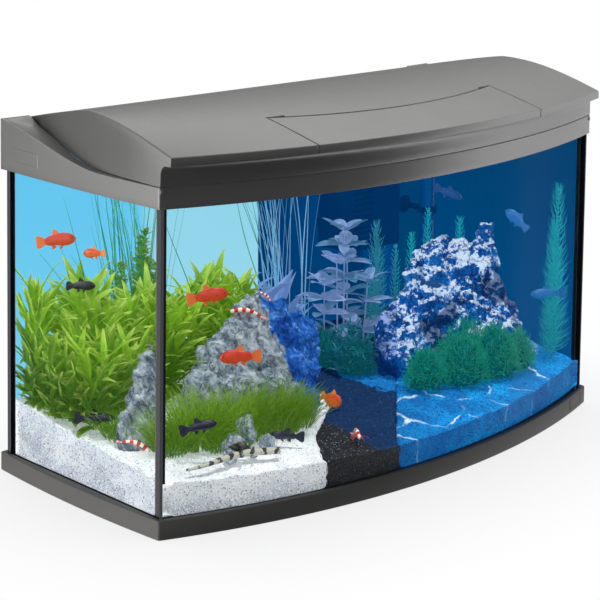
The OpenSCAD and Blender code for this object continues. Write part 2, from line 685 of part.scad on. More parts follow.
module heater_tube() color("#cfe0e4", 0.4) difference() {
    bottom = [heater_x, heater_y, 190];
    bore = heater_r - 1.3;
    union() {
        rod_z(bottom, heater_r, 162);
        ball(bottom, heater_r);
    }
    rod_z(bottom, bore, 200);
    ball(bottom, bore);
}
module heater_core() color("#c7b9a0") {
    heater_rod(196, 5.5, 120);
    for (z = [204:8:308]) heater_rod(z, 6.6, 2.4);
    heater_rod(315, 8, 22);
}
module heater_cap() color("#15181b") difference() {
    union() {
        heater_rod(346, 14, 30);
        rod_y([heater_x, heater_y + 12, heater_cable_z], 5, 4.6);
    }
    heater_rod(345, heater_r + 0.02, 7.1);
    heater_rod(360, 3.05, 30);
    rod_y([heater_x, heater_y + 13, heater_cable_z], cable_r + 0.02, 10);
}
module heater_dial() color("#9b2f22") union() {
    heater_rod(362, 3, 15);
    difference() {
        heater_rod(376.2, 11, 7.6);
        box([heater_x - 0.8, heater_y - 12, 382.2], [1.6, 11, 4]);
    }
}
module heater_clips() color("#22272c") for (z = [232, 326]) {
    difference() {
        union() {
            heater_rod(z, heater_r + 3, 9);
            box([heater_x - 3, heater_y + heater_r + 1, z + 1], [6, 22, 7]);
        }
        heater_rod(z - 1, heater_r + 0.05, 12);
    }
    suction_cup(heater_x, z + 4.5);
}
module heater_cable() color("#101113") {
    rod_y([heater_x, heater_y + 13.2, heater_cable_z], cable_r, 6.8);
    rising_cable([heater_x, heater_y + 20, heater_cable_z]);
}

base_frame();
foam_strip();
bottom_pane();
front_pane();
rear_pane();
left_pane();
right_pane();
corner_seams();
bottom_seam();
backdrop_film();
top_frame();
gravel_white();
gravel_black();
gravel_blue();
rock_left();
rock_right();
pebbles();
plant_broadleaf();
plant_vallisneria();
plant_grass();
plant_stems();
plant_feather();
plant_moss();
filter_housing();
filter_cover();
filter_cartridge();
filter_sponge();
pump_body();
impeller();
impeller_shaft();
outlet_nozzle();
flow_knob();
filter_suction_cups();
pump_cable();
heater_tube();
heater_core();
heater_cap();
heater_dial();
heater_clips();
heater_cable();
hinge_brackets();
hinge_screws();
hinge_pins();
hinge_arms();
lid_shell();
lamp_housing();
lamp_reflector();
led_board();
day_leds();
night_leds();
lamp_lens();
lamp_end_caps();
lamp_brackets();
mode_button();
lamp_cable();
flap_lugs();
flap_pins();
flap_bushes();
feeding_flap();
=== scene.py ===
import math, json
import bpy
import numpy as np
from mathutils import Vector, Matrix, noise

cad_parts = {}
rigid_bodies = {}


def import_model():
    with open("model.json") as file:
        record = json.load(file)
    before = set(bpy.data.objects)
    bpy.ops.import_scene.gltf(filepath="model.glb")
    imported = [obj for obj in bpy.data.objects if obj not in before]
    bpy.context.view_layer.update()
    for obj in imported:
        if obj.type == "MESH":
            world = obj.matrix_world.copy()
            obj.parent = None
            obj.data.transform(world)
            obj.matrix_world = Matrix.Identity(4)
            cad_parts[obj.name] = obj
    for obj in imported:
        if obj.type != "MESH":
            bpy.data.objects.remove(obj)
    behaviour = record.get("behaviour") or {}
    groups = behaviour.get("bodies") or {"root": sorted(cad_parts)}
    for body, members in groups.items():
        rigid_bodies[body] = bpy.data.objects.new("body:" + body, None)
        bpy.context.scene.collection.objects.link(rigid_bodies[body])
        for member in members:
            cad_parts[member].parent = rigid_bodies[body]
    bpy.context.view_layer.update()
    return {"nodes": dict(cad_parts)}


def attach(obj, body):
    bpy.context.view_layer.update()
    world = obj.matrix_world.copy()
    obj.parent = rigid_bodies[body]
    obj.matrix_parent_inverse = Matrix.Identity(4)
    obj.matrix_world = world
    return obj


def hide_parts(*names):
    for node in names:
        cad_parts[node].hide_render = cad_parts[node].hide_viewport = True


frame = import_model()
NODE = frame["nodes"]
sc = bpy.context.scene
sc.view_settings.view_transform = "Standard"
sc.view_settings.look = "None"
rng = np.random.RandomState(11)
INTERIOR = bpy.data.collections.new("lit_inside")
HOOD = bpy.data.collections.new("lit_hood")
BASE = bpy.data.collections.new("lit_base")


def lin(r, g, b):
    return tuple(c / 12.92 if c <= 0.04045 else ((c + 0.055) / 1.055) ** 2.4 for c in (r / 255, g / 255, b / 255))


# ---------------------------------------------------------------- materials
class G:
    def __init__(self, name):
        self.m = bpy.data.materials.new(name)
        self.m.use_nodes = True
        self.t = self.m.node_tree
        self.t.nodes.clear()
        self.out = self.t.nodes.new("ShaderNodeOutputMaterial")
        self._p = None

    def n(self, kind, ins=None, **props):
        nd = self.t.nodes.new("ShaderNode" + kind)
        for k, v in props.items():
            setattr(nd, k, v)
        for k, v in (ins or {}).items():
            s = nd.inputs[k]
            if isinstance(v, bpy.types.NodeSocket):
                self.t.links.new(v, s)
            elif isinstance(v, (tuple, list)) and len(v) == 3 and s.type == "RGBA":
                s.default_value = (*v, 1)
            else:
                s.default_value = v
        return nd

    def math(self, op, a, b=None, c=None, clamp=False):
        ins = {0: a}
        if b is not None:
            ins[1] = b
        if c is not None:
            ins[2] = c
        return self.n("Math", ins, operation=op, use_clamp=clamp).outputs[0]

    def mix(self, f, a, b, mode="MIX"):
        return self.n("Mix", {0: f, 6: a, 7: b}, data_type="RGBA", blend_type=mode).outputs[2]

    def ramp(self, f, stops, interp="LINEAR"):
        nd = self.n("ValToRGB", {0: f})
        cr = nd.color_ramp
        cr.interpolation = interp
        while len(cr.elements) > len(stops):
            cr.elements.remove(cr.elements[-1])
        while len(cr.elements) < len(stops):
            cr.elements.new(0.5)
        for e, (p, c) in zip(cr.elements, stops):
            e.position = p
            e.color = (*c, 1) if isinstance(c, (tuple, list)) else (c, c, c, 1)
        return nd.outputs[0]

    def map(self, v, a, b, c=0.0, d=1.0):
        return self.n("MapRange", {0: v, 1: a, 2: b, 3: c, 4: d}, clamp=True).outputs[0]

    @property
    def p(self):
        if self._p is None:
            self._p = self.n("TexCoord").outputs["Object"]
        return self._p

    def xyz(self, v=None):
        return self.n("SeparateXYZ", {0: v or self.p}).outputs

    def scale(self, v, s):
        return self.n("VectorMath", {0: v, 1: s}, operation="MULTIPLY").outputs[0]

    def noise(self, scale, detail=3.0, rough=0.55, dist=0.0, vec=None, out=0):
        return self.n("TexNoise", {"Vector": vec or self.p, "Scale": scale, "Detail": detail, "Roughness": rough, "Distortion": dist}).outputs[out]

    def vor(self, scale, feature="F1", vec=None, out="Distance", rand=1.0):
        return self.n("TexVoronoi", {"Vector": vec or self.p, "Scale": scale, "Randomness": rand}, feature=feature).outputs[out]

    def dot(self, v, nrm, off):
        d = self.n("VectorMath", {0: v, 1: nrm}, operation="DOT_PRODUCT").outputs["Value"]
        return self.math("ADD", d, off)

    def over(self, v, edge=0.0005):
        return self.map(v, -edge, edge)

    def bump(self, h, dist=0.001, strength=0.5, normal=None):
        ins = {"Height": h, "Distance": dist, "Strength": strength}
        if normal is not None:
            ins["Normal"] = normal
        return self.n("Bump", ins).outputs[0]

    def pbr(self, col, rough=0.5, spec=0.5, normal=None, emit=0.0, metal=0.0, **more):
        ins = {"Base Color": col, "Roughness": rough, "Specular IOR Level": spec, "Metallic": metal}
        if normal is not None:
            ins["Normal"] = normal
        if not (isinstance(emit, float) and emit == 0.0):
            ins["Emission Color"] = col
            ins["Emission Strength"] = emit
        ins.update(more)
        return self.n("BsdfPrincipled", ins).outputs[0]

    def done(self, shader):
        self.t.links.new(shader, self.out.inputs["Surface"])
        return self.m


# vertical planes that part the day, night and moonlit thirds of the scape; the materials that use them paint the blue
# night light and the moonlight into their colours
EYE_AT = Vector((-1.72186, -1.69924, 0.83405))
RX, RZ, RY = 0.104, 0.7264, 0.0082
FWD = Vector((math.sin(RZ) * math.cos(RX), math.cos(RZ) * math.cos(RX), -math.sin(RX)))
RIGHT0 = Vector((math.cos(RZ), -math.sin(RZ), 0))
UP0 = RIGHT0.cross(FWD)
RIGHT = math.cos(RY) * RIGHT0 + math.sin(RY) * UP0
UP = -math.sin(RY) * RIGHT0 + math.cos(RY) * UP0


def cut_plane(k):
    """upright plane through the eye, at slope k to the right of straight ahead"""
    n = (RIGHT - k * FWD).normalized()
    return tuple(n), -n.dot(EYE_AT)


N1, D1 = cut_plane(0.0249)
N2, D2 = cut_plane(0.0969)


def zones(g):
    return g.over(g.dot(g.p, N1, D1)), g.over(g.dot(g.p, N2, D2))


# painted light: mixes the day colour, the painted night light and the painted moonlight, one for each third
def zoned(g, day, night, moon):
    a, b = zones(g)
    return g.mix(b, g.mix(a, day, night), moon)


def hull_plastic(name, base, rough=0.42, spec=0.5):
    g = G(name)
    big = g.noise(9.0, 3.0)
    fine = g.noise(2600.0, 2.0, 0.6)
    pits = g.vor(1500.0)
    col = g.mix(g.map(big, 0.3, 0.7), tuple(c * 0.97 for c in base), tuple(c * 1.03 for c in base))
    col = g.mix(g.map(fine, 0.35, 0.75, 0.0, 0.18), col, tuple(min(1, c * 1.4) for c in base))
    scuff = g.noise(60.0, 6.0, 0.7, 1.2, vec=g.scale(g.p, (1.0, 0.25, 1.0)))
    rg = g.math("ADD", g.map(scuff, 0.35, 0.75, rough - 0.02, rough + 0.03), g.map(fine, 0.3, 0.7, -0.01, 0.02))
    h = g.math("ADD", fine, g.math("MULTIPLY", pits, 0.4))
    return g.done(g.pbr(col, rg, spec, g.bump(h, 0.0001, 0.25)))


def simple(name, base, rough=0.5, spec=0.5, grain=900.0, var=0.12, bump=0.3, metal=0.0, emit=0.0):
    g = G(name)
    a = g.noise(grain, 3.0, 0.6)
    b = g.noise(grain / 60, 3.0)
    col = g.mix(g.map(a, 0.3, 0.7), tuple(c * (1 - var) for c in base), tuple(min(1, c * (1 + var)) for c in base))
    col = g.mix(g.map(b, 0.3, 0.7, 0, 0.25), col, tuple(c * 0.8 for c in base))
    rg = g.map(b, 0.3, 0.7, rough * 0.85, min(1, rough * 1.15))
    return g.done(g.pbr(col, rg, spec, g.bump(a, 0.0002, bump), emit, metal))


def dim(name, col):
    """a part that hides in deep blue water: mostly a painted glow in nearly the tone of what is behind it, with a
    little lit plastic
    """
    g = G(name)
    n = g.noise(30.0, 3.0)
    f = g.noise(900.0, 3.0, 0.6)
    c = g.mix(g.map(n, 0.3, 0.7), tuple(v * 0.92 for v in col), tuple(v * 1.06 for v in col))
    c = g.mix(g.map(f, 0.35, 0.75, 0.0, 0.12), c, tuple(v * 1.3 for v in col))
    em = g.n("Emission", {0: c, 1: 1.0}).outputs[0]
    return g.done(g.n("MixShader", {0: 0.14, 1: em, 2: g.pbr(c, 0.6, 0.2, g.bump(f, 0.0002, 0.3))}).outputs[0])


def bead(name):
    """bottom seam: black along the ends, clear along the front where the gravel shows through it"""
    g = G(name)
    x = g.xyz()[0]
    n = g.noise(120.0, 3.0)
    b = g.pbr(g.mix(g.map(n, 0.3, 0.7), (0.003, 0.0035, 0.005), (0.005, 0.006, 0.008)), 0.3, 0.4)
    t = g.n("BsdfTransparent", {0: (1, 1, 1)}).outputs[0]
    k = g.mix(g.over(g.math("SUBTRACT", g.math("MULTIPLY", x, -1.0), 0.362), 0.002), (0.06, 0.06, 0.06), (1, 1, 1))
    return g.done(g.n("MixShader", {0: g.xyz(k)[0], 1: t, 2: b}).outputs[0])


def brushed(name, base, rough=0.28):
    g = G(name)
    a = g.noise(400.0, 4.0, 0.7, vec=g.scale(g.p, (0.05, 1.0, 1.0)))
    col = g.mix(g.map(a, 0.3, 0.7), tuple(c * 0.88 for c in base), base)
    return g.done(g.pbr(col, g.map(a, 0.3, 0.7, rough * 0.8, rough * 1.3), 0.5, g.bump(a, 0.0001, 0.2), metal=1.0))


def glass(name, tint, edge, sides=False, refl=0.10, strip=None):
    g = G(name)
    geo = g.n("NewGeometry")
    nrm, inc, back = geo.outputs["True Normal"], geo.outputs["Incoming"], geo.outputs["Backfacing"]
    smudge = g.noise(14.0, 5.0, 0.6)
    tr = g.n("BsdfTransparent", {0: g.mix(g.map(smudge, 0.35, 0.7, 0, 0.3), tint, tuple(c * 0.99 for c in tint))}).outputs[0]
    gl = g.n("BsdfGlossy", {"Color": (1, 1, 1), "Roughness": g.map(smudge, 0.4, 0.7, 0.01, 0.05)}).outputs[0]
    fr = g.n("LayerWeight", {"Blend": 0.12}).outputs["Fresnel"]
    k = g.math("MULTIPLY", fr, refl)
    body = g.n("MixShader", {0: k, 1: tr, 2: gl}).outputs[0]
    nx = g.xyz(nrm)
    if sides:
        # seen from the water side past the critical angle a pane mirrors the scape; the right pane's mirror is a
        # painted reflection, a flat deep-blue glow, while the left pane mirrors for real
        px = g.xyz(g.p)[0]
        inner = g.math("LESS_THAN", g.math("MULTIPLY", px, nx[0]), -0.1)
        face = g.math("MULTIPLY", inner, g.math("SUBTRACT", 1.0, back))
        cosi = g.math("ABSOLUTE", g.n("VectorMath", {0: nrm, 1: inc}, operation="DOT_PRODUCT").outputs["Value"])
        k2 = g.math("MULTIPLY", face, g.map(cosi, 0.86, 0.9, 1.0, 0.0))
        pz = g.map(g.xyz(g.p)[2], 0.06, 0.38)
        deep = g.mix(pz, lin(0, 74, 132), lin(0, 62, 110))
        sky = g.mix(pz, lin(96, 176, 150), lin(112, 200, 238))
        tone = g.mix(g.math("GREATER_THAN", px, 0.0), sky, deep)
        shade = g.n("Emission", {0: tone, 1: 1.0}).outputs[0]
        real = g.n("BsdfGlossy", {"Color": (0.93, 0.96, 0.97), "Roughness": 0.0}).outputs[0]
        mirror = g.n("MixShader", {0: g.math("GREATER_THAN", px, 0.0), 1: real, 2: shade}).outputs[0]
        body = g.n("MixShader", {0: k2, 1: body, 2: mirror}).outputs[0]
    ax = g.math("ABSOLUTE", nx[0])
    ay = g.math("ABSOLUTE", nx[1])
    az = g.math("ABSOLUTE", nx[2])
    if sides:
        e = g.math("GREATER_THAN", g.math("MAXIMUM", ay, az), 0.8)
    else:
        e = g.math("GREATER_THAN", g.math("MAXIMUM", ax, az), 0.8)
    streak = g.noise(700.0, 3.0, vec=g.scale(g.p, (1, 1, 0.05)))
    ecol = g.mix(g.map(streak, 0.3, 0.7), edge, tuple(c * 1.3 for c in edge))
    # pane edges: a dark edge colour with a faint painted glow
    es = g.pbr(ecol, 0.3, 0.2, emit=0.35)
    body = g.n("MixShader", {0: e, 1: body, 2: es}).outputs[0]
    if strip:
        # the bonded margin of the bent pane shows the seam behind it as a grey band, painted as a flat glow
        px = g.math("ABSOLUTE", g.xyz(g.p)[0])
        on = g.math("MULTIPLY", g.over(g.math("SUBTRACT", px, 0.3738), 0.0001), g.math("LESS_THAN", nx[1], -0.5))
        gs = g.n("Emission", {0: g.mix(g.map(streak, 0.3, 0.7), strip, tuple(c * 1.15 for c in strip)), 1: 1.0}).outputs[0]
        body = g.n("MixShader", {0: on, 1: body, 2: gs}).outputs[0]
    return g.done(body)


def backdrop_mat():
    g = G("backdrop")
    x, y, z = g.xyz()
    n = g.noise(7.0, 3.0, 0.5)
    fib = g.noise(900.0, 2.0)
    zz = g.map(z, 0.06, 0.38)
    left = g.mix(zz, lin(122, 208, 240), lin(98, 197, 241))
    mid = g.mix(zz, lin(158, 218, 238), lin(140, 210, 234))
    day = g.mix(g.map(x, -0.17, -0.15), left, mid)
    # painted light: in the night and moonlit thirds the backdrop takes the navy tones of the blue night light and the
    # moonlight
    nf = g.map(x, 0.02, 0.3)
    night = g.mix(nf, lin(1, 55, 104), lin(0, 68, 126))
    swirl = g.map(g.noise(9.0, 1.0, 0.4, 0.6, vec=g.scale(g.p, (1.0, 1.0, 0.35))), 0.53, 0.55, 0.0, 0.55)
    night = g.mix(g.math("MULTIPLY", swirl, g.map(x, 0.12, 0.2)), night, lin(0, 40, 84))
    moon = g.mix(zz, lin(0, 66, 108), lin(0, 62, 112))
    a, b = zones(g)
    col = g.mix(b, g.mix(a, day, night), moon)
    col = g.mix(g.map(n, 0.3, 0.7, 0, 0.10), col, (1, 1, 1), "SOFT_LIGHT")
    geo = g.n("NewGeometry")
    ny = g.xyz(geo.outputs["True Normal"])[1]
    rear = g.math("GREATER_THAN", ny, 0.5)
    col = g.mix(rear, col, lin(22, 64, 110))
    s = g.pbr((0.0, 0.0, 0.0), g.map(fib, 0.3, 0.7, 0.5, 0.7), 0.2, g.bump(fib, 0.0001, 0.2), 0.0)
    em = g.n("Emission", {0: col, 1: 1.0}).outputs[0]
    rearp = g.pbr(col, 0.55, 0.3)
    m1 = g.n("MixShader", {0: 0.9, 1: s, 2: em}).outputs[0]
    return g.done(g.n("MixShader", {0: rear, 1: em, 2: rearp}).outputs[0])


def gravel_mat(kind):
    g = G("gravel_" + kind)
    # each kind of gravel also carries a painted glow through its emission
    x, y, z = g.xyz()
    cells = g.vor(760.0, out="Color")
    cv = g.xyz(cells)
    grain = g.vor(560.0)
    mid = g.noise(60.0, 4.0, 0.6)
    big = g.noise(14.0, 3.0, 0.6)
    geo = g.n("NewGeometry")
    nz = g.xyz(geo.outputs["Normal"])[2]
    # side marks the steep faces of the bed; every kind paints them darker as painted shade
    side = g.map(nz, 0.2, 0.6, 1.0, 0.0)
    h = g.math("ADD", g.math("MULTIPLY", g.math("SUBTRACT", 1.0, grain), 0.8), mid)
    if kind == "white":
        fall = g.math("SUBTRACT", z, g.math("ADD", 0.070, g.math("MULTIPLY", y, 0.1)))
        fall = g.math("ADD", fall, g.map(g.noise(26.0, 4.0, 0.6), 0.3, 0.7, -0.012, 0.012))
        # painted shade on the white sides is strongest well below the top; on the front the sides also darken towards
        # the bottom
        side = g.math("MULTIPLY", side, g.map(fall, -0.030, -0.006, 1.0, 0.25))
        top = g.mix(g.map(mid, 0.3, 0.7), lin(212, 217, 225), lin(240, 242, 245))
        top = g.mix(g.map(big, 0.42, 0.62, 0.0, 0.45), top, lin(198, 206, 214))
        xx = g.map(x, -0.372, -0.366, 0.0, 1.0)
        low = g.mix(g.map(big, 0.4, 0.6), lin(196, 200, 206), lin(232, 234, 238))
        low = g.mix(xx, low, g.mix(g.map(z, 0.026, 0.06), lin(178, 183, 192), lin(232, 235, 239)))
        low = g.mix(g.map(g.noise(19.0, 4.0, 0.6), 0.44, 0.60, 0.0, 0.7), low, lin(172, 180, 192))
        col = g.mix(side, top, low)
        fleck = g.math("GREATER_THAN", cv[0], 0.90)
        col = g.mix(g.math("MULTIPLY", fleck, g.map(side, 0, 1, 0.65, 0.7)), col, lin(84, 88, 98))
        pale = g.math("GREATER_THAN", cv[1], 0.75)
        col = g.mix(g.math("MULTIPLY", pale, 0.5), col, (1, 1, 1))
        return g.done(g.pbr(col, 0.8, 0.2, g.bump(h, 0.0012, 0.6), 0.34))
    if kind == "black":
        day = g.mix(g.map(cv[0], 0.2, 1.0), lin(8, 9, 13), lin(44, 48, 56))
        day = g.mix(g.math("MULTIPLY", g.math("GREATER_THAN", cv[1], 0.965), g.map(side, 0, 1, 0.8, 0.3)), day, lin(140, 148, 164))
        day = g.mix(g.math("MULTIPLY", side, 0.5), day, lin(8, 9, 14))
        # painted light: in the night third the tops of the black gravel are painted in the blue of the night light
        nite = g.mix(g.map(cv[0], 0.2, 1.0), lin(0, 28, 62), lin(4, 52, 100))
        nite = g.mix(g.math("GREATER_THAN", cv[1], 0.975), nite, lin(20, 90, 150))
        # a brighter blue patch by the right-hand stone
        dx = g.math("DIVIDE", g.math("SUBTRACT", x, 0.083), 0.040)
        dy = g.math("DIVIDE", g.math("SUBTRACT", y, 0.000), 0.062)
        rr = g.math("ADD", g.math("MULTIPLY", dx, dx), g.math("MULTIPLY", dy, dy))
        rr = g.math("ADD", rr, g.map(mid, 0.3, 0.7, -0.5, 0.5))
        bright = g.mix(g.map(cv[0], 0.2, 0.9), lin(0, 84, 160), lin(20, 134, 205))
        nite = g.mix(g.map(rr, 0.75, 1.05, 1.0, 0.0), nite, bright)
        plane = g.math("ADD", x, 0.0825)
        plane = g.math("ADD", plane, g.map(mid, 0.3, 0.7, -0.004, 0.004))
        col = g.mix(g.math("MULTIPLY", g.over(plane, 0.001), g.math("SUBTRACT", 1.0, side)), day, nite)
        return g.done(g.pbr(col, 0.75, 0.3, g.bump(h, 0.0012, 0.8), 0.30))
    base = g.mix(g.map(cv[0], 0.1, 0.95), lin(0, 108, 192), lin(24, 172, 234))
    base = g.mix(g.map(g.noise(11.0, 4.0, 0.65), 0.46, 0.60, 0.0, 0.6), base, lin(0, 68, 146))
    base = g.mix(g.math("GREATER_THAN", cv[1], 0.9), base, lin(0, 44, 104))
    # painted caustic light: a net of bright ragged lines over the tops, faint on the sides
    wob = g.n("VectorMath", {0: g.p, 1: g.scale(g.n("TexNoise", {"Vector": g.p, "Scale": 14.0, "Detail": 4.0}).outputs["Color"], (0.05, 0.05, 0.0))}, operation="ADD").outputs[0]
    flat = g.scale(wob, (1.0, 1.0, 0.0))
    caustic_net = g.vor(12.0, "DISTANCE_TO_EDGE", vec=flat)
    line = g.map(caustic_net, 0.008, 0.028, 1.0, 0.0)
    brk = g.map(g.noise(26.0, 4.0), 0.44, 0.62)
    line = g.math("MULTIPLY", g.math("MULTIPLY", line, brk), g.map(mid, 0.3, 0.6, 0.4, 1.0))
    line = g.math("MULTIPLY", line, g.map(side, 0, 1, 1, 0.25))
    dark = g.map(g.dot(g.p, N2, D2), 0.0, 0.05, 0.75, 0.0)
    base = g.mix(g.math("MULTIPLY", dark, g.map(y, -0.19, -0.05, 1.0, 0.2)), base, lin(0, 50, 110))
    base = g.mix(g.math("MULTIPLY", side, 0.45), base, lin(0, 58, 128))
    col = g.mix(line, base, lin(214, 240, 255))
    return g.done(g.pbr(col, 0.75, 0.3, g.bump(h, 0.0012, 0.8), 0.42))


def rock_mat(kind):
    g = G("stone_" + kind)
    v1 = g.noise(30.0, 9.0, 0.7, 0.6)
    v2 = g.noise(130.0 if kind == "left" else 250.0, 9.0, 0.76, 0.3)
    v3 = g.noise(520.0, 3.0, 0.6)
    tilt = g.n("VectorRotate", {"Vector": g.p, "Angle": 0.7}, rotation_type="Y_AXIS").outputs[0]
    streak = g.noise(95.0, 8.0, 0.74, 0.8, vec=g.scale(tilt, (1.0, 1.0, 0.28)))
    wob = g.n("VectorMath", {0: g.p, 1: g.scale(g.n("TexNoise", {"Vector": g.p, "Scale": 22.0, "Detail": 6.0}).outputs["Color"], (0.07, 0.07, 0.07))}, operation="ADD").outputs[0]
    crack = g.vor(20.0, "DISTANCE_TO_EDGE", vec=wob)
    geo = g.n("NewGeometry")
    nz = g.xyz(geo.outputs["Normal"])[2]
    up = g.map(nz, -0.2, 0.8)
    grey = g.ramp(g.math("ADD", g.math("MULTIPLY", streak, 0.65), g.math("MULTIPLY", v2, 0.35)),
                  [(0.37, lin(48, 60, 74)), (0.44, lin(98, 114, 130)), (0.50, lin(150, 164, 177)), (0.56, lin(192, 203, 212)), (0.65, lin(238, 243, 247))])
    grey = g.mix(g.map(v1, 0.50, 0.66, 0.0, 0.55), grey, lin(92, 110, 122))
    grey = g.mix(g.map(g.noise(11.0, 4.0), 0.52, 0.66, 0.0, 0.35), grey, lin(126, 150, 130))
    if kind == "left":
        # the lit facet is grey; the far lobe lies in the blue night third and is painted in its blue night light
        A, B = Vector((-0.111, 0.012, 0.196)), Vector((-0.033, 0.012, 0.061))
        nn = (A - EYE_AT).cross(B - EYE_AT).normalized()
        if nn.x < 0:
            nn = -nn
        d = g.dot(g.p, tuple(nn), -nn.dot(EYE_AT))
        d = g.math("ADD", d, g.map(g.noise(60.0, 5.0), 0.3, 0.7, -0.005, 0.005))
        blue = g.ramp(g.math("ADD", g.math("MULTIPLY", streak, 0.7), g.math("MULTIPLY", v2, 0.3)),
                      [(0.38, lin(4, 40, 112)), (0.46, lin(20, 78, 166)), (0.54, lin(46, 112, 200)), (0.60, lin(104, 158, 226)), (0.68, lin(190, 214, 244))])
        col = g.mix(g.over(d, 0.0012), grey, blue)
        em = g.map(g.over(d, 0.0012), 0.0, 1.0, 0.24, 0.30)
    else:
        # painted light: pale crests where light falls from above, deep blue below in the painted blue of the night
        # light
        m = g.math("ADD", g.math("MULTIPLY", up, 0.34), g.math("MULTIPLY", v1, 0.7))
        m = g.math("ADD", m, g.math("MULTIPLY", v2, 1.0))
        wht = g.map(m, 1.045, 1.13)
        deep = g.ramp(g.math("ADD", g.math("MULTIPLY", v1, 0.4), g.math("MULTIPLY", v2, 0.6)),
                      [(0.38, lin(0, 34, 92)), (0.45, lin(0, 66, 142)), (0.51, lin(4, 98, 184)), (0.57, lin(40, 136, 212)), (0.64, lin(120, 186, 236))])
        # painted shade: dark hollows placed by noise, where no pale crest shows
        cave = g.map(g.noise(17.0, 2.0, 0.5), 0.40, 0.46, 0.8, 0.0)
        deep = g.mix(cave, deep, lin(0, 34, 84))
        wht = g.math("MULTIPLY", wht, g.math("SUBTRACT", 1.0, cave))
        # painted light: outside the moonlit third the blue is painted darker and the crests bluer; in it the crests are
        # whiter
        a, b = zones(g)
        deep = g.mix(b, g.mix(0.5, deep, lin(0, 48, 110)), deep)
        crestc = g.mix(b, lin(150, 172, 226), lin(206, 224, 248))
        col = g.mix(wht, deep, crestc)
        em = 0.36
    col = g.mix(g.map(crack, 0.0, 0.025, 0.7, 0.0), col, lin(12, 30, 60))
    h = g.math("ADD", g.math("MULTIPLY", v2, 1.0), g.math("MULTIPLY", streak, 0.8))
    h = g.math("ADD", h, g.math("MULTIPLY", v3, 0.2))
    # the emission is a painted glow that lifts the stone's colours
    return g.done(g.pbr(col, 0.8, 0.2, g.bump(h, 0.005, 0.9), em))


def leaf_mat(name, dark, light, tip, night, moon, emit=0.2, nightemit=None, night2=None):
    """dark to light by height and chance, the darkening low in the plant being painted shade; tip along the blade; one
    tint for each third of the scape, the night and moonlit tints being painted night light and moonlight.
    """
    g = G(name)
    at = g.n("Attribute", attribute_name="lv").outputs["Vector"]
    r, t, s = g.xyz(at)
    n = g.noise(120.0, 3.0)
    k = g.math("ADD", g.math("MULTIPLY", r, 0.75), g.map(n, 0.3, 0.7, 0.0, 0.25))
    day = g.mix(k, dark, light)
    day = g.mix(g.map(t, 0.55, 1.0, 0.0, 0.55), day, tip)
    # painted shade: darker low in the plant, by height s
    day = g.mix(g.map(s, 0.0, 1.0, 0.75, 0.0), day, tuple(c * 0.35 for c in dark))
    # the night and moonlit thirds: painted blue night light and moonlight, with the same painted shade low down
    nt_ = g.mix(k, night2 or tuple(c * 0.55 for c in night), night)
    nt_ = g.mix(g.map(s, 0.0, 1.0, 0.7, 0.0), nt_, tuple(c * 0.25 for c in night))
    mo_ = g.mix(k, tuple(c * 0.55 for c in moon), moon)
    mo_ = g.mix(g.map(s, 0.0, 1.0, 0.5, 0.0), mo_, tuple(c * 0.35 for c in moon))
    col = zoned(g, day, nt_, mo_)
    a, b = zones(g)
    # painted glow, stronger outside the day third
    em = g.math("MULTIPLY", g.map(a, 0, 1, emit, nightemit if nightemit is not None else emit + 0.2), 1.0)
    vein = g.noise(900.0, 2.0, vec=g.scale(g.p, (1, 1, 0.15)))
    b1 = g.pbr(col, g.map(n, 0.3, 0.7, 0.35, 0.55), 0.4, g.bump(vein, 0.0003, 0.4), em)
    tl = g.n("BsdfTranslucent", {0: g.mix(0.35, col, light)}).outputs[0]
    return g.done(g.n("MixShader", {0: 0.28, 1: b1, 2: tl}).outputs[0])


def led_mat(name, col, power):
    g = G(name)
    v = g.noise(3000.0, 1.0)
    return g.done(g.pbr(g.mix(g.map(v, 0.3, 0.7), tuple(c * 0.9 for c in col), col), 0.2, 0.5, None, power))


def water_mat():
    g = G("water_skin")
    rip = g.noise(26.0, 3.0, 0.5, 0.6)
    nb = g.bump(rip, 0.01, 0.25)
    tr = g.n("BsdfTransparent", {0: (0.93, 0.98, 1.0)}).outputs[0]
    gl = g.n("BsdfGlossy", {"Color": (1, 1, 1), "Roughness": 0.03, "Normal": nb}).outputs[0]
    fr = g.n("LayerWeight", {"Blend": 0.15, "Normal": nb}).outputs["Fresnel"]
    return g.done(g.n("MixShader", {0: g.math("MULTIPLY", fr, 0.8), 1: tr, 2: gl}).outputs[0])


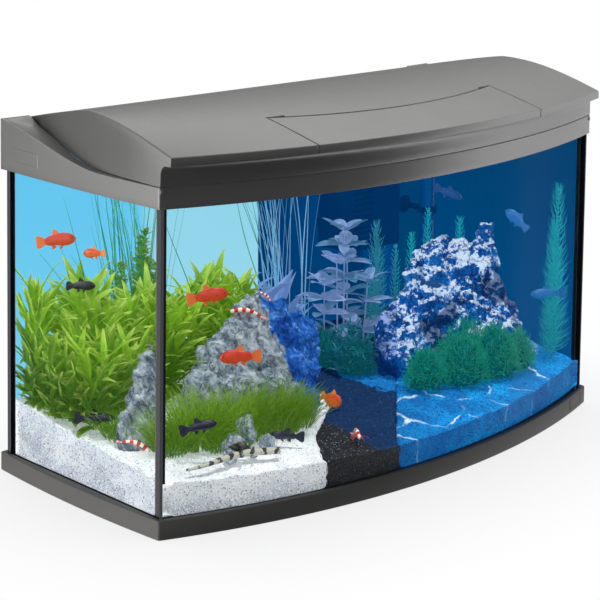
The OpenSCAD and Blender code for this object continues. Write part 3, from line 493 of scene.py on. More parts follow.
GREY = (0.152, 0.150, 0.146)
M = {
    "hood": hull_plastic("hood_plastic", GREY, 0.31),
    "base": hull_plastic("base_plastic", (0.135, 0.132, 0.127), 0.5, 0.12),
    "black": simple("black_plastic", (0.012, 0.014, 0.018), 0.42, grain=1500.0),
    # the filter, pump and heater parts get a painted blue glow
    "blue_glow": dim("dim_plastic", lin(0, 50, 99)),
    "blue_glow_dark": dim("dim_plastic_dark", lin(0, 46, 93)),
    "rubber": simple("rubber", (0.014, 0.014, 0.016), 0.6, 0.3, grain=2000.0),
    "steel": brushed("steel", (0.62, 0.62, 0.64)),
    "reflector": brushed("reflector_sheet", (0.86, 0.87, 0.88), 0.18),
    "board": simple("circuit_board", (0.75, 0.77, 0.74), 0.4, grain=700.0),
    "ceramic": dim("ceramic_core", lin(6, 76, 132)),
    "sponge": dim("filter_foam", lin(0, 47, 94)),
    "dial": simple("dial_plastic", lin(70, 50, 90), 0.45),
    "button": simple("button_plastic", (0.3, 0.32, 0.34), 0.4),
    "silicone": simple("silicone", (0.0035, 0.004, 0.006), 0.3, 0.4, grain=120.0, var=0.3),
    "bead": bead("clear_bead"),
    "foam": simple("foam", (0.02, 0.02, 0.022), 0.95, 0.1, grain=1200.0, var=0.4, bump=0.8),
    "pane": glass("pane_glass", (0.985, 0.995, 0.995), lin(24, 26, 29), refl=0.012),
    "front": glass("front_glass", (0.985, 0.995, 0.995), lin(13, 15, 18), refl=0.003, strip=lin(60, 62, 66)),
    "side": glass("side_glass", (0.985, 0.995, 0.995), lin(40, 44, 48), sides=True, refl=0.05),
    "lens": glass("lamp_lens", (0.95, 0.97, 1.0), (0.5, 0.55, 0.6)),
    "film": backdrop_mat(),
    "day_led": led_mat("day_led", (1.0, 0.93, 0.72), 3.0),
    "night_led": led_mat("night_led", (0.12, 0.32, 1.0), 2.0),
    "tube": glass("tube_glass", (0.93, 0.98, 1.0), lin(0, 70, 126), refl=0.04),
}
MAP = {
    "foam_strip": "foam", "bottom_pane": "pane", "front_pane": "front", "rear_pane": "pane", "left_pane": "side", "right_pane": "side",
    "corner_seams": "silicone", "bottom_seam": "bead", "backdrop_film": "film", "top_frame": "hood",
    "filter_housing": "blue_glow", "filter_cover": "blue_glow_dark", "filter_cartridge": "blue_glow_dark", "filter_sponge": "sponge", "pump_body": "blue_glow_dark",
    "impeller": "blue_glow", "impeller_shaft": "ceramic", "outlet_nozzle": "blue_glow_dark", "flow_knob": "blue_glow", "filter_suction_cups": "blue_glow_dark",
    "pump_cable": "blue_glow_dark", "heater_tube": "tube", "heater_core": "ceramic", "heater_cap": "blue_glow_dark", "heater_dial": "dial", "heater_clips": "blue_glow_dark",
    "heater_cable": "blue_glow_dark", "hinge_brackets": "black", "hinge_screws": "steel", "hinge_pins": "steel", "hinge_arms": "black",
    "lamp_housing": "black", "lamp_reflector": "reflector", "led_board": "board", "day_leds": "day_led", "night_leds": "night_led", "lamp_lens": "lens",
    "lamp_end_caps": "black", "lamp_brackets": "black", "mode_button": "button", "lamp_cable": "rubber", "flap_lugs": "black", "flap_pins": "steel",
    "flap_bushes": "black", "base_frame": "base", "lid_shell": "hood", "feeding_flap": "hood",
}


# ---------------------------------------------------------------- shading of CAD nodes
def soften_group():
    """smooths every edge flatter than 32 degrees and marks the rest sharp; welding is done by the weld modifier in
    soften()
    """
    t = bpy.data.node_groups.new("soften", "GeometryNodeTree")
    t.interface.new_socket("Geometry", in_out="INPUT", socket_type="NodeSocketGeometry")
    t.interface.new_socket("Geometry", in_out="OUTPUT", socket_type="NodeSocketGeometry")
    i, o = t.nodes.new("NodeGroupInput"), t.nodes.new("NodeGroupOutput")
    ang = t.nodes.new("GeometryNodeInputMeshEdgeAngle")
    cmp_ = t.nodes.new("FunctionNodeCompare")
    cmp_.data_type, cmp_.operation = "FLOAT", "GREATER_THAN"
    cmp_.inputs[1].default_value = math.radians(32)
    st = t.nodes.new("GeometryNodeStoreNamedAttribute")
    st.data_type, st.domain = "BOOLEAN", "EDGE"
    st.inputs["Name"].default_value = "sharp_edge"
    sm = t.nodes.new("GeometryNodeSetShadeSmooth")
    t.links.new(ang.outputs["Unsigned Angle"], cmp_.inputs[0])
    t.links.new(i.outputs[0], sm.inputs["Geometry"])
    t.links.new(sm.outputs[0], st.inputs["Geometry"])
    t.links.new(cmp_.outputs[0], st.inputs["Value"])
    t.links.new(st.outputs[0], o.inputs[0])
    return t


SOFT = soften_group()


def soften(o, bevel=0.0):
    w = o.modifiers.new("weld", "WELD")
    w.merge_threshold = 0.00001
    if bevel:
        b = o.modifiers.new("bevel", "BEVEL")
        b.width, b.segments, b.limit_method, b.angle_limit = bevel, 2, "ANGLE", math.radians(40)
    m = o.modifiers.new("soften", "NODES")
    m.node_group = SOFT


BEV = {"filter_housing": 0.0008, "filter_cover": 0.0006, "lamp_housing": 0.0006, "lamp_end_caps": 0.001, "hinge_brackets": 0.0004, "hinge_arms": 0.0005,
       "pump_body": 0.0012, "heater_cap": 0.0008, "heater_dial": 0.0006, "flow_knob": 0.0006, "mode_button": 0.0003, "lamp_brackets": 0.0004,
       "led_board": 0.0003, "day_leds": 0.0004, "night_leds": 0.0004}
for name, o in NODE.items():
    if name not in MAP:
        continue
    o.data.materials.clear()
    o.data.materials.append(M[MAP[name]])
    soften(o, BEV.get(name, 0.0))


def mesh(name, v, f, mat, body="tank", attr=None, smooth=True, group=None, scale=0.001):
    """v in mm, f a list of index tuples or an (n, 3 or 4) array"""
    me = bpy.data.meshes.new(name)
    v = np.asarray(v, np.float64) * scale
    if isinstance(f, np.ndarray):
        k = f.shape[1]
        me.vertices.add(len(v))
        me.vertices.foreach_set("co", v.astype(np.float32).ravel())
        me.loops.add(f.size)
        me.loops.foreach_set("vertex_index", f.astype(np.int32).ravel())
        me.polygons.add(len(f))
        me.polygons.foreach_set("loop_start", np.arange(0, f.size, k, dtype=np.int32))
        me.update(calc_edges=True)
        me.validate()
    else:
        me.from_pydata(v.tolist(), [], f)
        me.update()
    if smooth:
        me.polygons.foreach_set("use_smooth", [True] * len(me.polygons))
    if attr is not None:
        a = me.attributes.new("lv", "FLOAT_VECTOR", "POINT")
        a.data.foreach_set("vector", np.asarray(attr, np.float32).ravel())
    me.materials.append(mat)
    o = bpy.data.objects.new(name, me)
    sc.collection.objects.link(o)
    if body:
        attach(o, body)
    if group:
        group.objects.link(o)
    return o


def grid_faces(nr, nc, o=0, flip=False, wrap=False):
    r, c = np.meshgrid(np.arange(nr - 1), np.arange(nc if wrap else nc - 1), indexing="ij")
    a = o + r * nc + c
    b = o + r * nc + (c + 1) % nc
    d, e = b + nc, a + nc
    q = np.stack([a, b, d, e], -1).reshape(-1, 4)
    return q[:, ::-1].copy() if flip else q


# ---------------------------------------------------------------- shared outlines (mm), as in the CAD
HW, BOW, YF, YR = 382.5, 68.6, -113.0, 188.6
ARC_R = (HW * HW + BOW * BOW) / (2 * BOW)
ARC_C = YF - BOW + ARC_R
R_RIM, R_GLASS = ARC_R - 3.5, ARC_R - 6.4
GHW, GYR = HW - 5.2, 180.8
LEN, MID = YR - YF, (YR + YF) / 2
VH, VB = 378.0, 63.4
V_R = (VH * VH + VB * VB) / (2 * VB)
V_C = YF - 12.3 - VB + V_R
CREST = 465.5
LIP = CREST - 31


def arc_y(x, r): return ARC_C - math.sqrt(max(0, r * r - x * x))
def side_r(s): return (LEN * LEN / 4 + s * s) / (2 * s)
def vis_y(x): return V_C - math.sqrt(max(0, V_R * V_R - x * x))
def smooth(t):
    u = min(1, max(0, t))
    return u * u * (3 - 2 * u)
def crest_at(u): return 0.56 - 0.06 * u * u
def top_z(u, v):
    c = crest_at(u)
    if v < c:
        return LIP + (CREST - LIP) * math.sin(math.pi / 2 * max(0, v) / c)
    return CREST - (CREST - LIP) * ((v - c) / (1 - c)) ** 1.15
def gap_c(d): return 1 + smooth((d - 225) / 50)
def gap_x(d): return 380.4 - 48.2 * (min(283, max(0, d)) / 300) ** 1.9
def arch_x(d): return min(378 - 38 * (max(0, d + 12.3) / 314) ** 2, gap_x(d))
def gap_z(d): return 399.2 + 33 * smooth((d - 95) / 220)
def swoop_z(d): return 399.3 + 38 * smooth((d - 100) / 220)
def skirt_z(d): return min(414.5, max(399.9, gap_z(d) - 4))
def flap_rear(x): return YF - 1 + 27.7 * (x / 197) ** 2
def Z(x, y):
    u = max(-1, min(1, x / arch_x(y - YF)))
    yf = vis_y(u * VH)
    return top_z(u, max(0, min(1, (y - yf) / (YR - yf))))
def drop(dist, r): return 0.0 if dist >= r else r - math.sqrt(max(0, r * r - (r - max(0, dist)) ** 2))


def spaced(a, b, n, lead=(), tail=()):
    """values from a to b with set offsets crowded at each end"""
    s = 1 if b > a else -1
    out = [a] + [a + s * k for k in lead]
    end = [b - s * k for k in sorted(tail, reverse=True)] + [b]
    lo, hi = out[-1], end[0]
    out += [lo + (hi - lo) * i / (n + 1) for i in range(1, n + 1)]
    return out + end


# ---------------------------------------------------------------- lid
def build_lid():
    rg, rf, rs, rr = 0.8, 1.0, 1.3, 2.5
    yc = flap_rear(198.2) + 2.4
    lead_g = (0.12, 0.35, 0.6, 0.9, 1.8)
    rows_a = spaced(0.0, 1.0, 14)[:-1]               # front edge to the cut corner, as fractions
    rows_b = spaced(yc, YR, 56, lead_g + (4,), (0.3, 0.9, 1.7, 2.5, 5))
    V, F = [], []

    def put(p):
        V.append(p)
        return len(V) - 1

    prof = [(0.9, "v", 0.0, 425.2), (1.0, "v", 0.25, 424.5), (1.2, "v", 1.0, 424.2), (2.0, "b", -7.0, 424.1), (2.5, "b", -4.6, 423.6),
            (3.0, "b", -3.0, 422.5), (3.5, "b", -1.7, 421.0), (4.0, "b", -0.9, 419.3), (4.5, "b", -0.3, 417.2), (5.0, "b", 0.0, 415.0),
            (5.5, "b", 0.0, 408.0), (5.9, "b", 0.0, 401.0), (6.0, "b", 0.5, 400.0)]

    def front_pt(u, k):
        kap, kind, dy, z = prof[k]
        x = u * (378 + 2.4 * kap / 6)
        yv = vis_y(u * VH)
        return (x, yv + dy if kind == "v" else arc_y(x, R_RIM) + dy, z)

    wings = {}
    for sg in (1, -1):
        # top of one wing: rows front to rear, columns from the flap's edge outwards
        fr_off = (0.0, 0.15, 0.4, 0.75, 1.2, 1.8, 3.2, 6.0)
        ncol_mid = 26
        rows = []
        y_in_front = vis_y(198.2)
        # rows are indexed; for each row and column a y is found between the front curve and yc
        fracs = [o_ / (yc - y_in_front) for o_ in fr_off] + [fr_off[-1] / (yc - y_in_front) + (1 - fr_off[-1] / (yc - y_in_front)) * i / 15 for i in range(1, 15)]
        for fi in fracs:
            row = []
            xe = 378.0
            for x in spaced(198.2, xe, ncol_mid, lead_g, (0.2, 0.7, 1.4, 2.4, 3.5, 6)):
                y0 = vis_y(x)
                y = y0 + (yc - y0) * fi
                xe2 = arch_x(y - YF)
                xx = 198.2 + (x - 198.2) * (xe2 - 198.2) / (xe - 198.2)
                z = Z(xx, y) - max(drop(y - vis_y(xx), rf), drop(xe2 - xx, rs), drop(xx - 198.2, rg))
                row.append(put((sg * xx, y, z)))
            rows.append(row)
        for y in rows_b:
            row = []
            xe = arch_x(y - YF)
            for x in spaced(198.2, xe, ncol_mid, lead_g, (0.2, 0.7, 1.4, 2.4, 3.5, 6)):
                dd = math.hypot(x - 198.2, y - yc)
                z = Z(x, y) - max(drop(xe - x, rs), drop(dd, rg), drop(YR - y, rr))
                row.append(put((sg * x, y, z)))
            rows.append(row)
        for i in range(len(rows) - 1):
            for j in range(len(rows[0]) - 1):
                q = (rows[i][j], rows[i][j + 1], rows[i + 1][j + 1], rows[i + 1][j])
                F.append(q if sg > 0 else q[::-1])
        wings[sg] = (rows, len(fracs))
        # lip, cove and band below the front edge
        prev = rows[0]
        for k in range(len(prof)):
            cur = [put(front_pt(V[i][0] / 378.0, k)) for i in prev] if k == 0 else [put(front_pt(u_, k)) for u_ in us]
            if k == 0:
                us = [V[i][0] / 378.0 for i in rows[0]]
                cur = [put(front_pt(u_, 0)) for u_ in us]
            for j in range(len(cur) - 1):
                q = (prev[j], cur[j], cur[j + 1], prev[j + 1])
                F.append(q if sg > 0 else q[::-1])
            prev = cur
        # side face, from the top edge down to the skirt
        edge = [r[-1] for r in rows]
        ncur = [edge]
        for k, (kap, kind, dy, zp) in enumerate(prof):
            line = []
            hp = (LIP - zp) / (LIP - 399.9)
            xf, yf0, _ = front_pt(sg * 1.0, k)
            for i in edge:
                y = V[i][1]
                v = (y - V[edge[0]][1]) / (YR - V[edge[0]][1])
                yk = yf0 + v * (YR - yf0)
                d = yk - YF
                xk = gap_x(d) + (arch_x(d) - gap_x(d)) * (1 - kap / 6)
                # a shallow hollow between the crown and the skirt
                xk -= 2.2 * math.sin(math.pi * kap / 6) * smooth((d - 20) / 120)
                zt = Z(arch_x(y - YF) * 0.99999, y)
                zb = skirt_z(d) + 0.1
                hs = hp + (kap / 6 - hp) * min(1, v * 4)
                line.append(put((sg * xk, yk, zt + (zb - zt) * hs)))
            ncur.append(line)
        for a, b in zip(ncur, ncur[1:]):
            for j in range(len(a) - 1):
                q = (a[j], a[j + 1], b[j + 1], b[j])
                F.append(q[::-1] if sg < 0 else q)
        # inner wall along the flap's side
        prev = [r[0] for r in rows[:len(fracs) + 1]]
        for dz in (0.8, 1.6, 2.4):
            cur = [put((V[i][0], V[i][1], V[i][2] - 0.8)) for i in prev]
            for j in range(len(cur) - 1):
                q = (prev[j], prev[j + 1], cur[j + 1], cur[j])
                F.append(q if sg > 0 else q[::-1])
            prev = cur
    # middle, behind the flap
    def ycut(x):
        y = flap_rear(x) + 2.4
        return max(y, -86.0 + 1.5 * (abs(x) - 172.5) / 26.4) if abs(x) > 172 else y
    xs = sorted(set([round(s * x, 4) for s in (1, -1) for x in (198.2, 198.0, 197.6, 196, 192, 188, 184, 180, 176, 172.6, 172.1, 171.9, 171)] + [round(-168 + 336 * i / 54, 4) for i in range(55)]))
    mrows = []
    base_y = rows_b[0]
    for k, yb in enumerate(rows_b):
        row = []
        for x in xs:
            fr = (yb - base_y) / (YR - base_y)
            y = ycut(x) + (YR - ycut(x)) * fr
            if abs(x) > 198.19:
                y = yb
            dd = max(0.0, y - ycut(x))
            z = Z(x, y) - max(drop(dd, rg), drop(YR - y, rr))
            row.append(put((x, y, z)))
        mrows.append(row)
    for i in range(len(mrows) - 1):
        for j in range(len(xs) - 1):
            F.append((mrows[i][j], mrows[i][j + 1], mrows[i + 1][j + 1], mrows[i + 1][j]))
    prev = mrows[0]
    for _ in range(3):
        cur = [put((V[i][0], V[i][1], V[i][2] - 0.8)) for i in prev]
        for j in range(len(cur) - 1):
            F.append((prev[j], cur[j], cur[j + 1], prev[j + 1])[::-1] if False else (cur[j], cur[j + 1], prev[j + 1], prev[j]))
        prev = cur
    # band below the flap's lip
    us = [x / 378.0 for x in [-198.2] + [-190 + 380 * i / 50 for i in range(51)] + [198.2]]
    prev = None
    for k in range(4, len(prof)):
        cur = [put(front_pt(u_, k)) for u_ in us]
        if prev:
            for j in range(len(cur) - 1):
                F.append((prev[j], cur[j], cur[j + 1], prev[j + 1]))
        prev = cur
    # rear wall, open at the two hinges
    def rear(row, flip):
        prev = row
        for z in (430.0, 422.0, 414.7):
            cur = [put((V[i][0], YR, z)) for i in row]
            for j in range(len(row) - 1):
                xm = abs(V[row[j]][0] + V[row[j + 1]][0]) / 2
                if 276 < xm < 304 and z < 430:
                    continue
                q = (prev[j], prev[j + 1], cur[j + 1], cur[j])
                F.append(q[::-1] if flip else q)
            prev = cur
    rear(mrows[-1], False)
    rear(wings[1][0][-1], False)
    rear(wings[-1][0][-1], True)
    o = mesh("hood_lid", V, F, M["hood"], None)
    import bmesh
    bm = bmesh.new()
    bm.from_mesh(o.data)
    bmesh.ops.remove_doubles(bm, verts=bm.verts, dist=0.00003)
    bmesh.ops.dissolve_degenerate(bm, edges=bm.edges, dist=0.00001)
    bmesh.ops.recalc_face_normals(bm, faces=bm.faces)
    up = sum(f.normal.z for f in bm.faces if f.calc_center_median().z > 0.44)
    if up < 0:
        bmesh.ops.reverse_faces(bm, faces=bm.faces)
    bm.to_mesh(o.data)
    bm.free()
    s = o.modifiers.new("thick", "SOLIDIFY")
    s.thickness, s.offset, s.use_even_offset, s.use_rim = 0.0024, -1.0, False, True
    m = o.modifiers.new("soften", "NODES")
    m.node_group = SOFT
    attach(o, "lid")
    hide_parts("lid_shell")
    HOOD.objects.link(o)
    return o


def build_flap():
    rg, rf = 0.8, 1.0
    V, F = [], []

    def put(p):
        V.append(p)
        return len(V) - 1

    lead = (0.12, 0.35, 0.6, 0.9, 1.8, 4)
    xs = spaced(-197.0, 197.0, 60, lead, lead)
    rows = []
    fo = (0.0, 0.15, 0.4, 0.75, 1.2, 1.8, 3.2)
    for i in range(34):
        row = []
        for x in xs:
            y0, y1 = vis_y(x), flap_rear(x)
            L = y1 - y0
            ys = [y0 + k for k in fo] + [y0 + fo[-1] + (L - fo[-1] - 4) * k / 20 for k in range(1, 21)] + [y1 - k for k in (2.5, 1.4, 0.9, 0.6, 0.35, 0.12, 0.0)]
            y = ys[i]
            z = Z(x, y) - max(drop(y - y0, rf), drop(197 - abs(x), rg), drop(y1 - y, rg))
            row.append(put((x, y, z)))
        rows.append(row)
    for i in range(len(rows) - 1):
        for j in range(len(xs) - 1):
            F.append((rows[i][j], rows[i][j + 1], rows[i + 1][j + 1], rows[i + 1][j]))
    # front lip
    prev = rows[0]
    for dy, z in ((0, 430.0), (0, 425.4), (0.25, 424.75), (1.0, 424.4), (5.0, 424.35), (8.6, 424.35)):
        cur = []
        for i in prev if z == 430.0 else base_row:
            x = V[i][0]
            cur.append(put((x, vis_y(x) + dy, z)))
        if z == 430.0:
            base_row = prev
        for j in range(len(cur) - 1):
            F.append((cur[j], cur[j + 1], prev[j + 1], prev[j]))
        prev = cur
    # returned edges at the sides and rear
    for loop, flip in (([r[0] for r in rows], True), ([r[-1] for r in rows], False), (rows[-1], True)):
        prev = loop
        for _ in range(2):
            cur = [put((V[i][0], V[i][1], V[i][2] - 0.9)) for i in prev]
            for j in range(len(cur) - 1):
                q = (prev[j], prev[j + 1], cur[j + 1], cur[j])
                F.append(q[::-1] if flip else q)
            prev = cur
    o = mesh("hood_flap", V, F, M["hood"], None)
    import bmesh
    bm = bmesh.new()
    bm.from_mesh(o.data)
    bmesh.ops.remove_doubles(bm, verts=bm.verts, dist=0.00003)
    bmesh.ops.recalc_face_normals(bm, faces=bm.faces)
    up = sum(f.normal.z for f in bm.faces if f.calc_center_median().z > 0.436)
    if up < 0:
        bmesh.ops.reverse_faces(bm, faces=bm.faces)
    bm.to_mesh(o.data)
    bm.free()
    s = o.modifiers.new("thick", "SOLIDIFY")
    s.thickness, s.offset, s.use_rim = 0.0019, -1.0, True
    m = o.modifiers.new("soften", "NODES")
    m.node_group = SOFT
    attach(o, "flap")
    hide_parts("feeding_flap")
    HOOD.objects.link(o)
    return o


def outline(hw, s, r, yr, rc=2.5, nf=90, ns=36, nr=20):
    """closed loop: front arc left to right, right side, rear, left side, with eased corners"""
    yc = arc_y(hw, r)
    if s:
        R = side_r(s)
        fx = lambda y: hw + s - R + math.sqrt(R * R - (y - MID) ** 2)
    else:
        fx = lambda y: hw
    segs = [
        [(-hw + 2 * hw * i / nf, arc_y(-hw + 2 * hw * i / nf, r)) for i in range(nf + 1)],
        [(fx(yc + (yr - yc) * i / ns), yc + (yr - yc) * i / ns) for i in range(ns + 1)],
        [(fx(yr) - 2 * fx(yr) * i / nr, yr) for i in range(nr + 1)],
        [(-fx(yr + (yc - yr) * i / ns), yr + (yc - yr) * i / ns) for i in range(ns + 1)],
    ]
    out = []
    for k in range(4):
        a, b = segs[k], segs[(k + 1) % 4]
        c = np.array(a[-1])
        p = c + rc * (np.array(a[-2]) - c) / np.linalg.norm(np.array(a[-2]) - c)
        q = c + rc * (np.array(b[1]) - c) / np.linalg.norm(np.array(b[1]) - c)
        out += a[1:-1]
        for i in range(7):
            t = i / 6
            out.append(tuple((1 - t) ** 2 * p + 2 * t * (1 - t) * c + t * t * q))
    return np.array(out)


def build_base():
    rings = []
    for dl, z in ((1.3, 0.0), (0.4, 0.35), (0.0, 1.3), (0.0, 11.0), (0.0, 21.2), (0.4, 22.4), (1.4, 22.9)):
        o = outline(HW - dl, 6.8, ARC_R - dl, YR - dl)
        rings.append(np.c_[o, np.full(len(o), z)])
    for g_, z, rc in ((1.1, 22.9, 1.5), (0.6, 22.6, 1.5), (0.5, 22.0, 1.5), (0.5, 8.0, 1.5), (-17, 8.0, 1.5), (-17, 0.4, 1.5), (-16.6, 0.0, 1.5)):
        o = outline(GHW + g_, 0, R_GLASS + g_, GYR + g_, rc)
        rings.append(np.c_[o, np.full(len(o), z)])
    n = len(rings[0])
    V = np.concatenate(rings)
    f = grid_faces(len(rings), n, wrap=True)
    last = (len(rings) - 1) * n
    i = np.arange(n)
    cap = np.stack([last + i, last + (i + 1) % n, (i + 1) % n, i], -1)
    o = mesh("base_trim", V, np.concatenate([f, cap]), M["base"], "tank", group=BASE)
    m = o.modifiers.new("soften", "NODES")
    m.node_group = SOFT
    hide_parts("base_frame")


def plate(name, at, z0, z1, n, mat, group):
    """blank raised plate with a fine rim, following the wall under it; at(t, depth) gives x, y for t in 0..1"""
    V = []

    def ring(ins_t, ins_z, depth):
        pts = []
        for k in range(n + 1):
            t = ins_t + (1 - 2 * ins_t) * k / n
            pts.append((*at(t, depth), z0 + ins_z))
        for k in range(n + 1):
            t = 1 - ins_t - (1 - 2 * ins_t) * k / n
            pts.append((*at(t, depth), z1 - ins_z))
        return pts
    rings = [ring(0, 0, -0.3), ring(0, 0, 0.3), ring(0.012, 0.3, 0.5), ring(0.045, 1.0, 0.5), ring(0.055, 1.25, 0.2)]
    m = len(rings[0])
    for r_ in rings:
        V += r_
    F = [tuple(int(i) for i in q) for q in grid_faces(len(rings), m, wrap=True)]
    o = (len(rings) - 1) * m
    for base, rev in ((o, False), (0, True)):
        for k in range(n):
            q = (base + k, base + k + 1, base + m - 2 - k, base + m - 1 - k)
            F.append(q[::-1] if rev else q)
    return mesh(name, V, F, mat, "tank", smooth=False, group=group)


def build_plates():
    R = side_r(3.3)
    cx = 380.9 + 3.3 - R

    def side(t, depth):
        y = 160 - 50 * t
        return (-(cx + math.sqrt(R * R - (y - MID) ** 2)) - depth, y)
    plate("blank_plate_side", side, 387.2, 404.6, 10, M["hood"], HOOD)

    def front(t, depth):
        x = 325 + 40 * t
        r = ARC_R
        nx, ny = x / r, (arc_y(x, r) - ARC_C) / r
        return (x + nx * depth, arc_y(x, r) + ny * depth)
    plate("blank_plate_base", front, 4.4, 18.8, 10, M["base"], BASE)


def build_rim():
    """top frame: band, ledge, and the shoulders that sweep up to the rear with a hollow beside the lid"""
    V, F = [], []

    def put(p):
        V.append(p)
        return len(V) - 1

    def shoulder(o_):
        """for an outline point: height of its outer top edge, and the inner end of the hollow"""
        x, y = o_
        d = y - YF
        sg = 1 if x > 0 else -1
        if y > YR - 0.6:
            return 412.3, (x, YR - 2.6), 412.3, "rear"
        if d < -0.5 or abs(x) < 376:
            k = (R_RIM - 9) / R_RIM
            return 399.4, (x * k, ARC_C + (y - ARC_C) * k), 399.4, "front"
        xi = min(gap_x(d) + gap_c(d), abs(x) - 2.5)
        low = 399.4 if d < 92 else max(399.4, gap_z(d) - 3.4 * smooth((d - 92) / 70) + 7.6 * smooth((d - 280) / 20))
        return max(399.4, swoop_z(d)) if d > 92 else 399.4, (sg * xi, y), low, "side"

    base = [tuple(p) for p in outline(380.9, 3.3, R_RIM, YR, rc=2.0, nf=120, ns=64, nr=2)]
    # leave out the rear run: it is built on its own
    n = len(base)
    info = [shoulder(p) for p in base]
    fil = 0.7
    cols = []
    for p, (zt, (ix, iy), zi, kind) in zip(base, info):
        x, y = p
        if kind == "rear":
            cols.append(None)
            continue
        L = math.hypot(ix - x, iy - y)
        ux, uy = (ix - x) / L, (iy - y) / L
        c = []
        for s_, z in ((2.4, 376.2), (2.4, 374.9), (1.6, 374.6), (fil, 374.6), (0.2, 374.8), (0.0, 375.4), (0.0, 382.0), (0.0, 390.0), (0.0, zt - 3), (0.0, zt - fil), (0.2, zt - 0.2), (fil, zt)):
            c.append(put((x + ux * s_, y + uy * s_, z)))
        m = 12
        for k in range(1, m + 1):
            t = k / m
            z = zi + (zt - zi) * (1 - t) ** (1.9 - 0.8 * smooth((y - YF - 280) / 20))
            s_ = fil + (L - fil) * t
            c.append(put((x + ux * s_, y + uy * s_, z)))
        for dz in (3.0, 7.0):
            c.append(put((ix, iy, zi - dz)))
        cols.append(c)
    for i in range(n):
        a, b = cols[i], cols[(i + 1) % n]
        if a is None or b is None:
            continue
        for k in range(len(a) - 1):
            F.append((a[k], b[k], b[k + 1], a[k + 1]))
    # rear wall, following the hollow's end shape at both sides
    d = YR - YF
    xi = gap_x(d) + gap_c(d)
    xo = 380.9 + 0.05
    zt, zi = swoop_z(d), gap_z(d) + 4.2
    prof = []
    for k in range(13):
        t = k / 12
        prof.append((xo + (xi - xo) * t, zi + (zt - zi) * (1 - t) ** 1.1))
    xs = [(-a, z) for a, z in prof] + [(-xi + 0.1, 412.3), (0.0, 412.3), (xi - 0.1, 412.3)] + [(a, z) for a, z in prof[::-1]]
    rows = []
    for f in (0.0, 0.5, 1.0):
        rows.append([put((x, YR, 374.6 + (z - 374.6) * f)) for x, z in xs])
    for r0, r1 in zip(rows, rows[1:]):
        for j in range(len(xs) - 1):
            F.append((r0[j + 1], r0[j], r1[j], r1[j + 1]))
    o = mesh("rim_shell", V, F, M["hood"], None)
    import bmesh
    bm = bmesh.new()
    bm.from_mesh(o.data)
    bmesh.ops.remove_doubles(bm, verts=bm.verts, dist=0.00004)
    bmesh.ops.dissolve_degenerate(bm, edges=bm.edges, dist=0.00001)
    bmesh.ops.recalc_face_normals(bm, faces=bm.faces)
    bm.faces.ensure_lookup_table()
    out = sum(1 if f.normal.dot(f.calc_center_median().to_2d().to_3d()) > 0 else -1 for f in bm.faces if 0.377 < f.calc_center_median().z < 0.396)
    if out < 0:
        bmesh.ops.reverse_faces(bm, faces=bm.faces)
    bm.to_mesh(o.data)
    bm.free()
    sd = o.modifiers.new("thick", "SOLIDIFY")
    sd.thickness, sd.offset, sd.use_rim = 0.0022, -1.0, True
    m_ = o.modifiers.new("soften", "NODES")
    m_.node_group = SOFT
    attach(o, "tank")
    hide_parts("top_frame")
    HOOD.objects.link(o)
    # web the lid's inside parts look down on: a flat ring over the glass
    a = outline(379.2, 3.3, R_RIM - 1.8, YR - 1.8, rc=1.0, nf=120, ns=64, nr=20)
    b = outline(352.0, 3.3, R_RIM - 24, YR - 30, rc=4.0, nf=120, ns=64, nr=20)
    rings = [np.c_[a, np.full(len(a), 393.0)], np.c_[b, np.full(len(b), 393.0)], np.c_[b, np.full(len(b), 395.5)], np.c_[a, np.full(len(a), 395.5)]]
    f = grid_faces(4, len(a), wrap=True)
    i = np.arange(len(a))
    cap = np.stack([3 * len(a) + i, 3 * len(a) + (i + 1) % len(a), (i + 1) % len(a), i], -1)
    w_ = mesh("rim_web", np.concatenate(rings), np.concatenate([f, cap]), M["hood"], "tank", smooth=False, group=HOOD)


build_lid()
build_flap()
build_base()
build_rim()
build_plates()
for k in ("corner_seams", "bottom_seam", "front_pane", "left_pane", "right_pane", "rear_pane", "bottom_pane", "foam_strip"):
    BASE.objects.link(NODE[k])
for k in ("backdrop_film", "filter_housing", "filter_cover", "filter_cartridge", "filter_sponge", "pump_body", "impeller", "impeller_shaft", "outlet_nozzle",
          "flow_knob", "filter_suction_cups", "pump_cable", "heater_tube", "heater_core", "heater_cap", "heater_dial", "heater_clips", "heater_cable"):
    INTERIOR.objects.link(NODE[k])


# ---------------------------------------------------------------- gravel
def keep_inside(v):
    """no grain passes the glass"""
    g_in, g_r, g_y1 = GHW - 5 - 0.6, R_GLASS - 6 - 0.6, GYR - 5 - 0.6
    v[:, 0] = np.clip(v[:, 0], -g_in, g_in)
    v[:, 1] = np.minimum(v[:, 1], g_y1)
    lim = ARC_C - np.sqrt(np.maximum(0, g_r ** 2 - v[:, 0] ** 2))
    v[:, 1] = np.maximum(v[:, 1], lim)
    return v


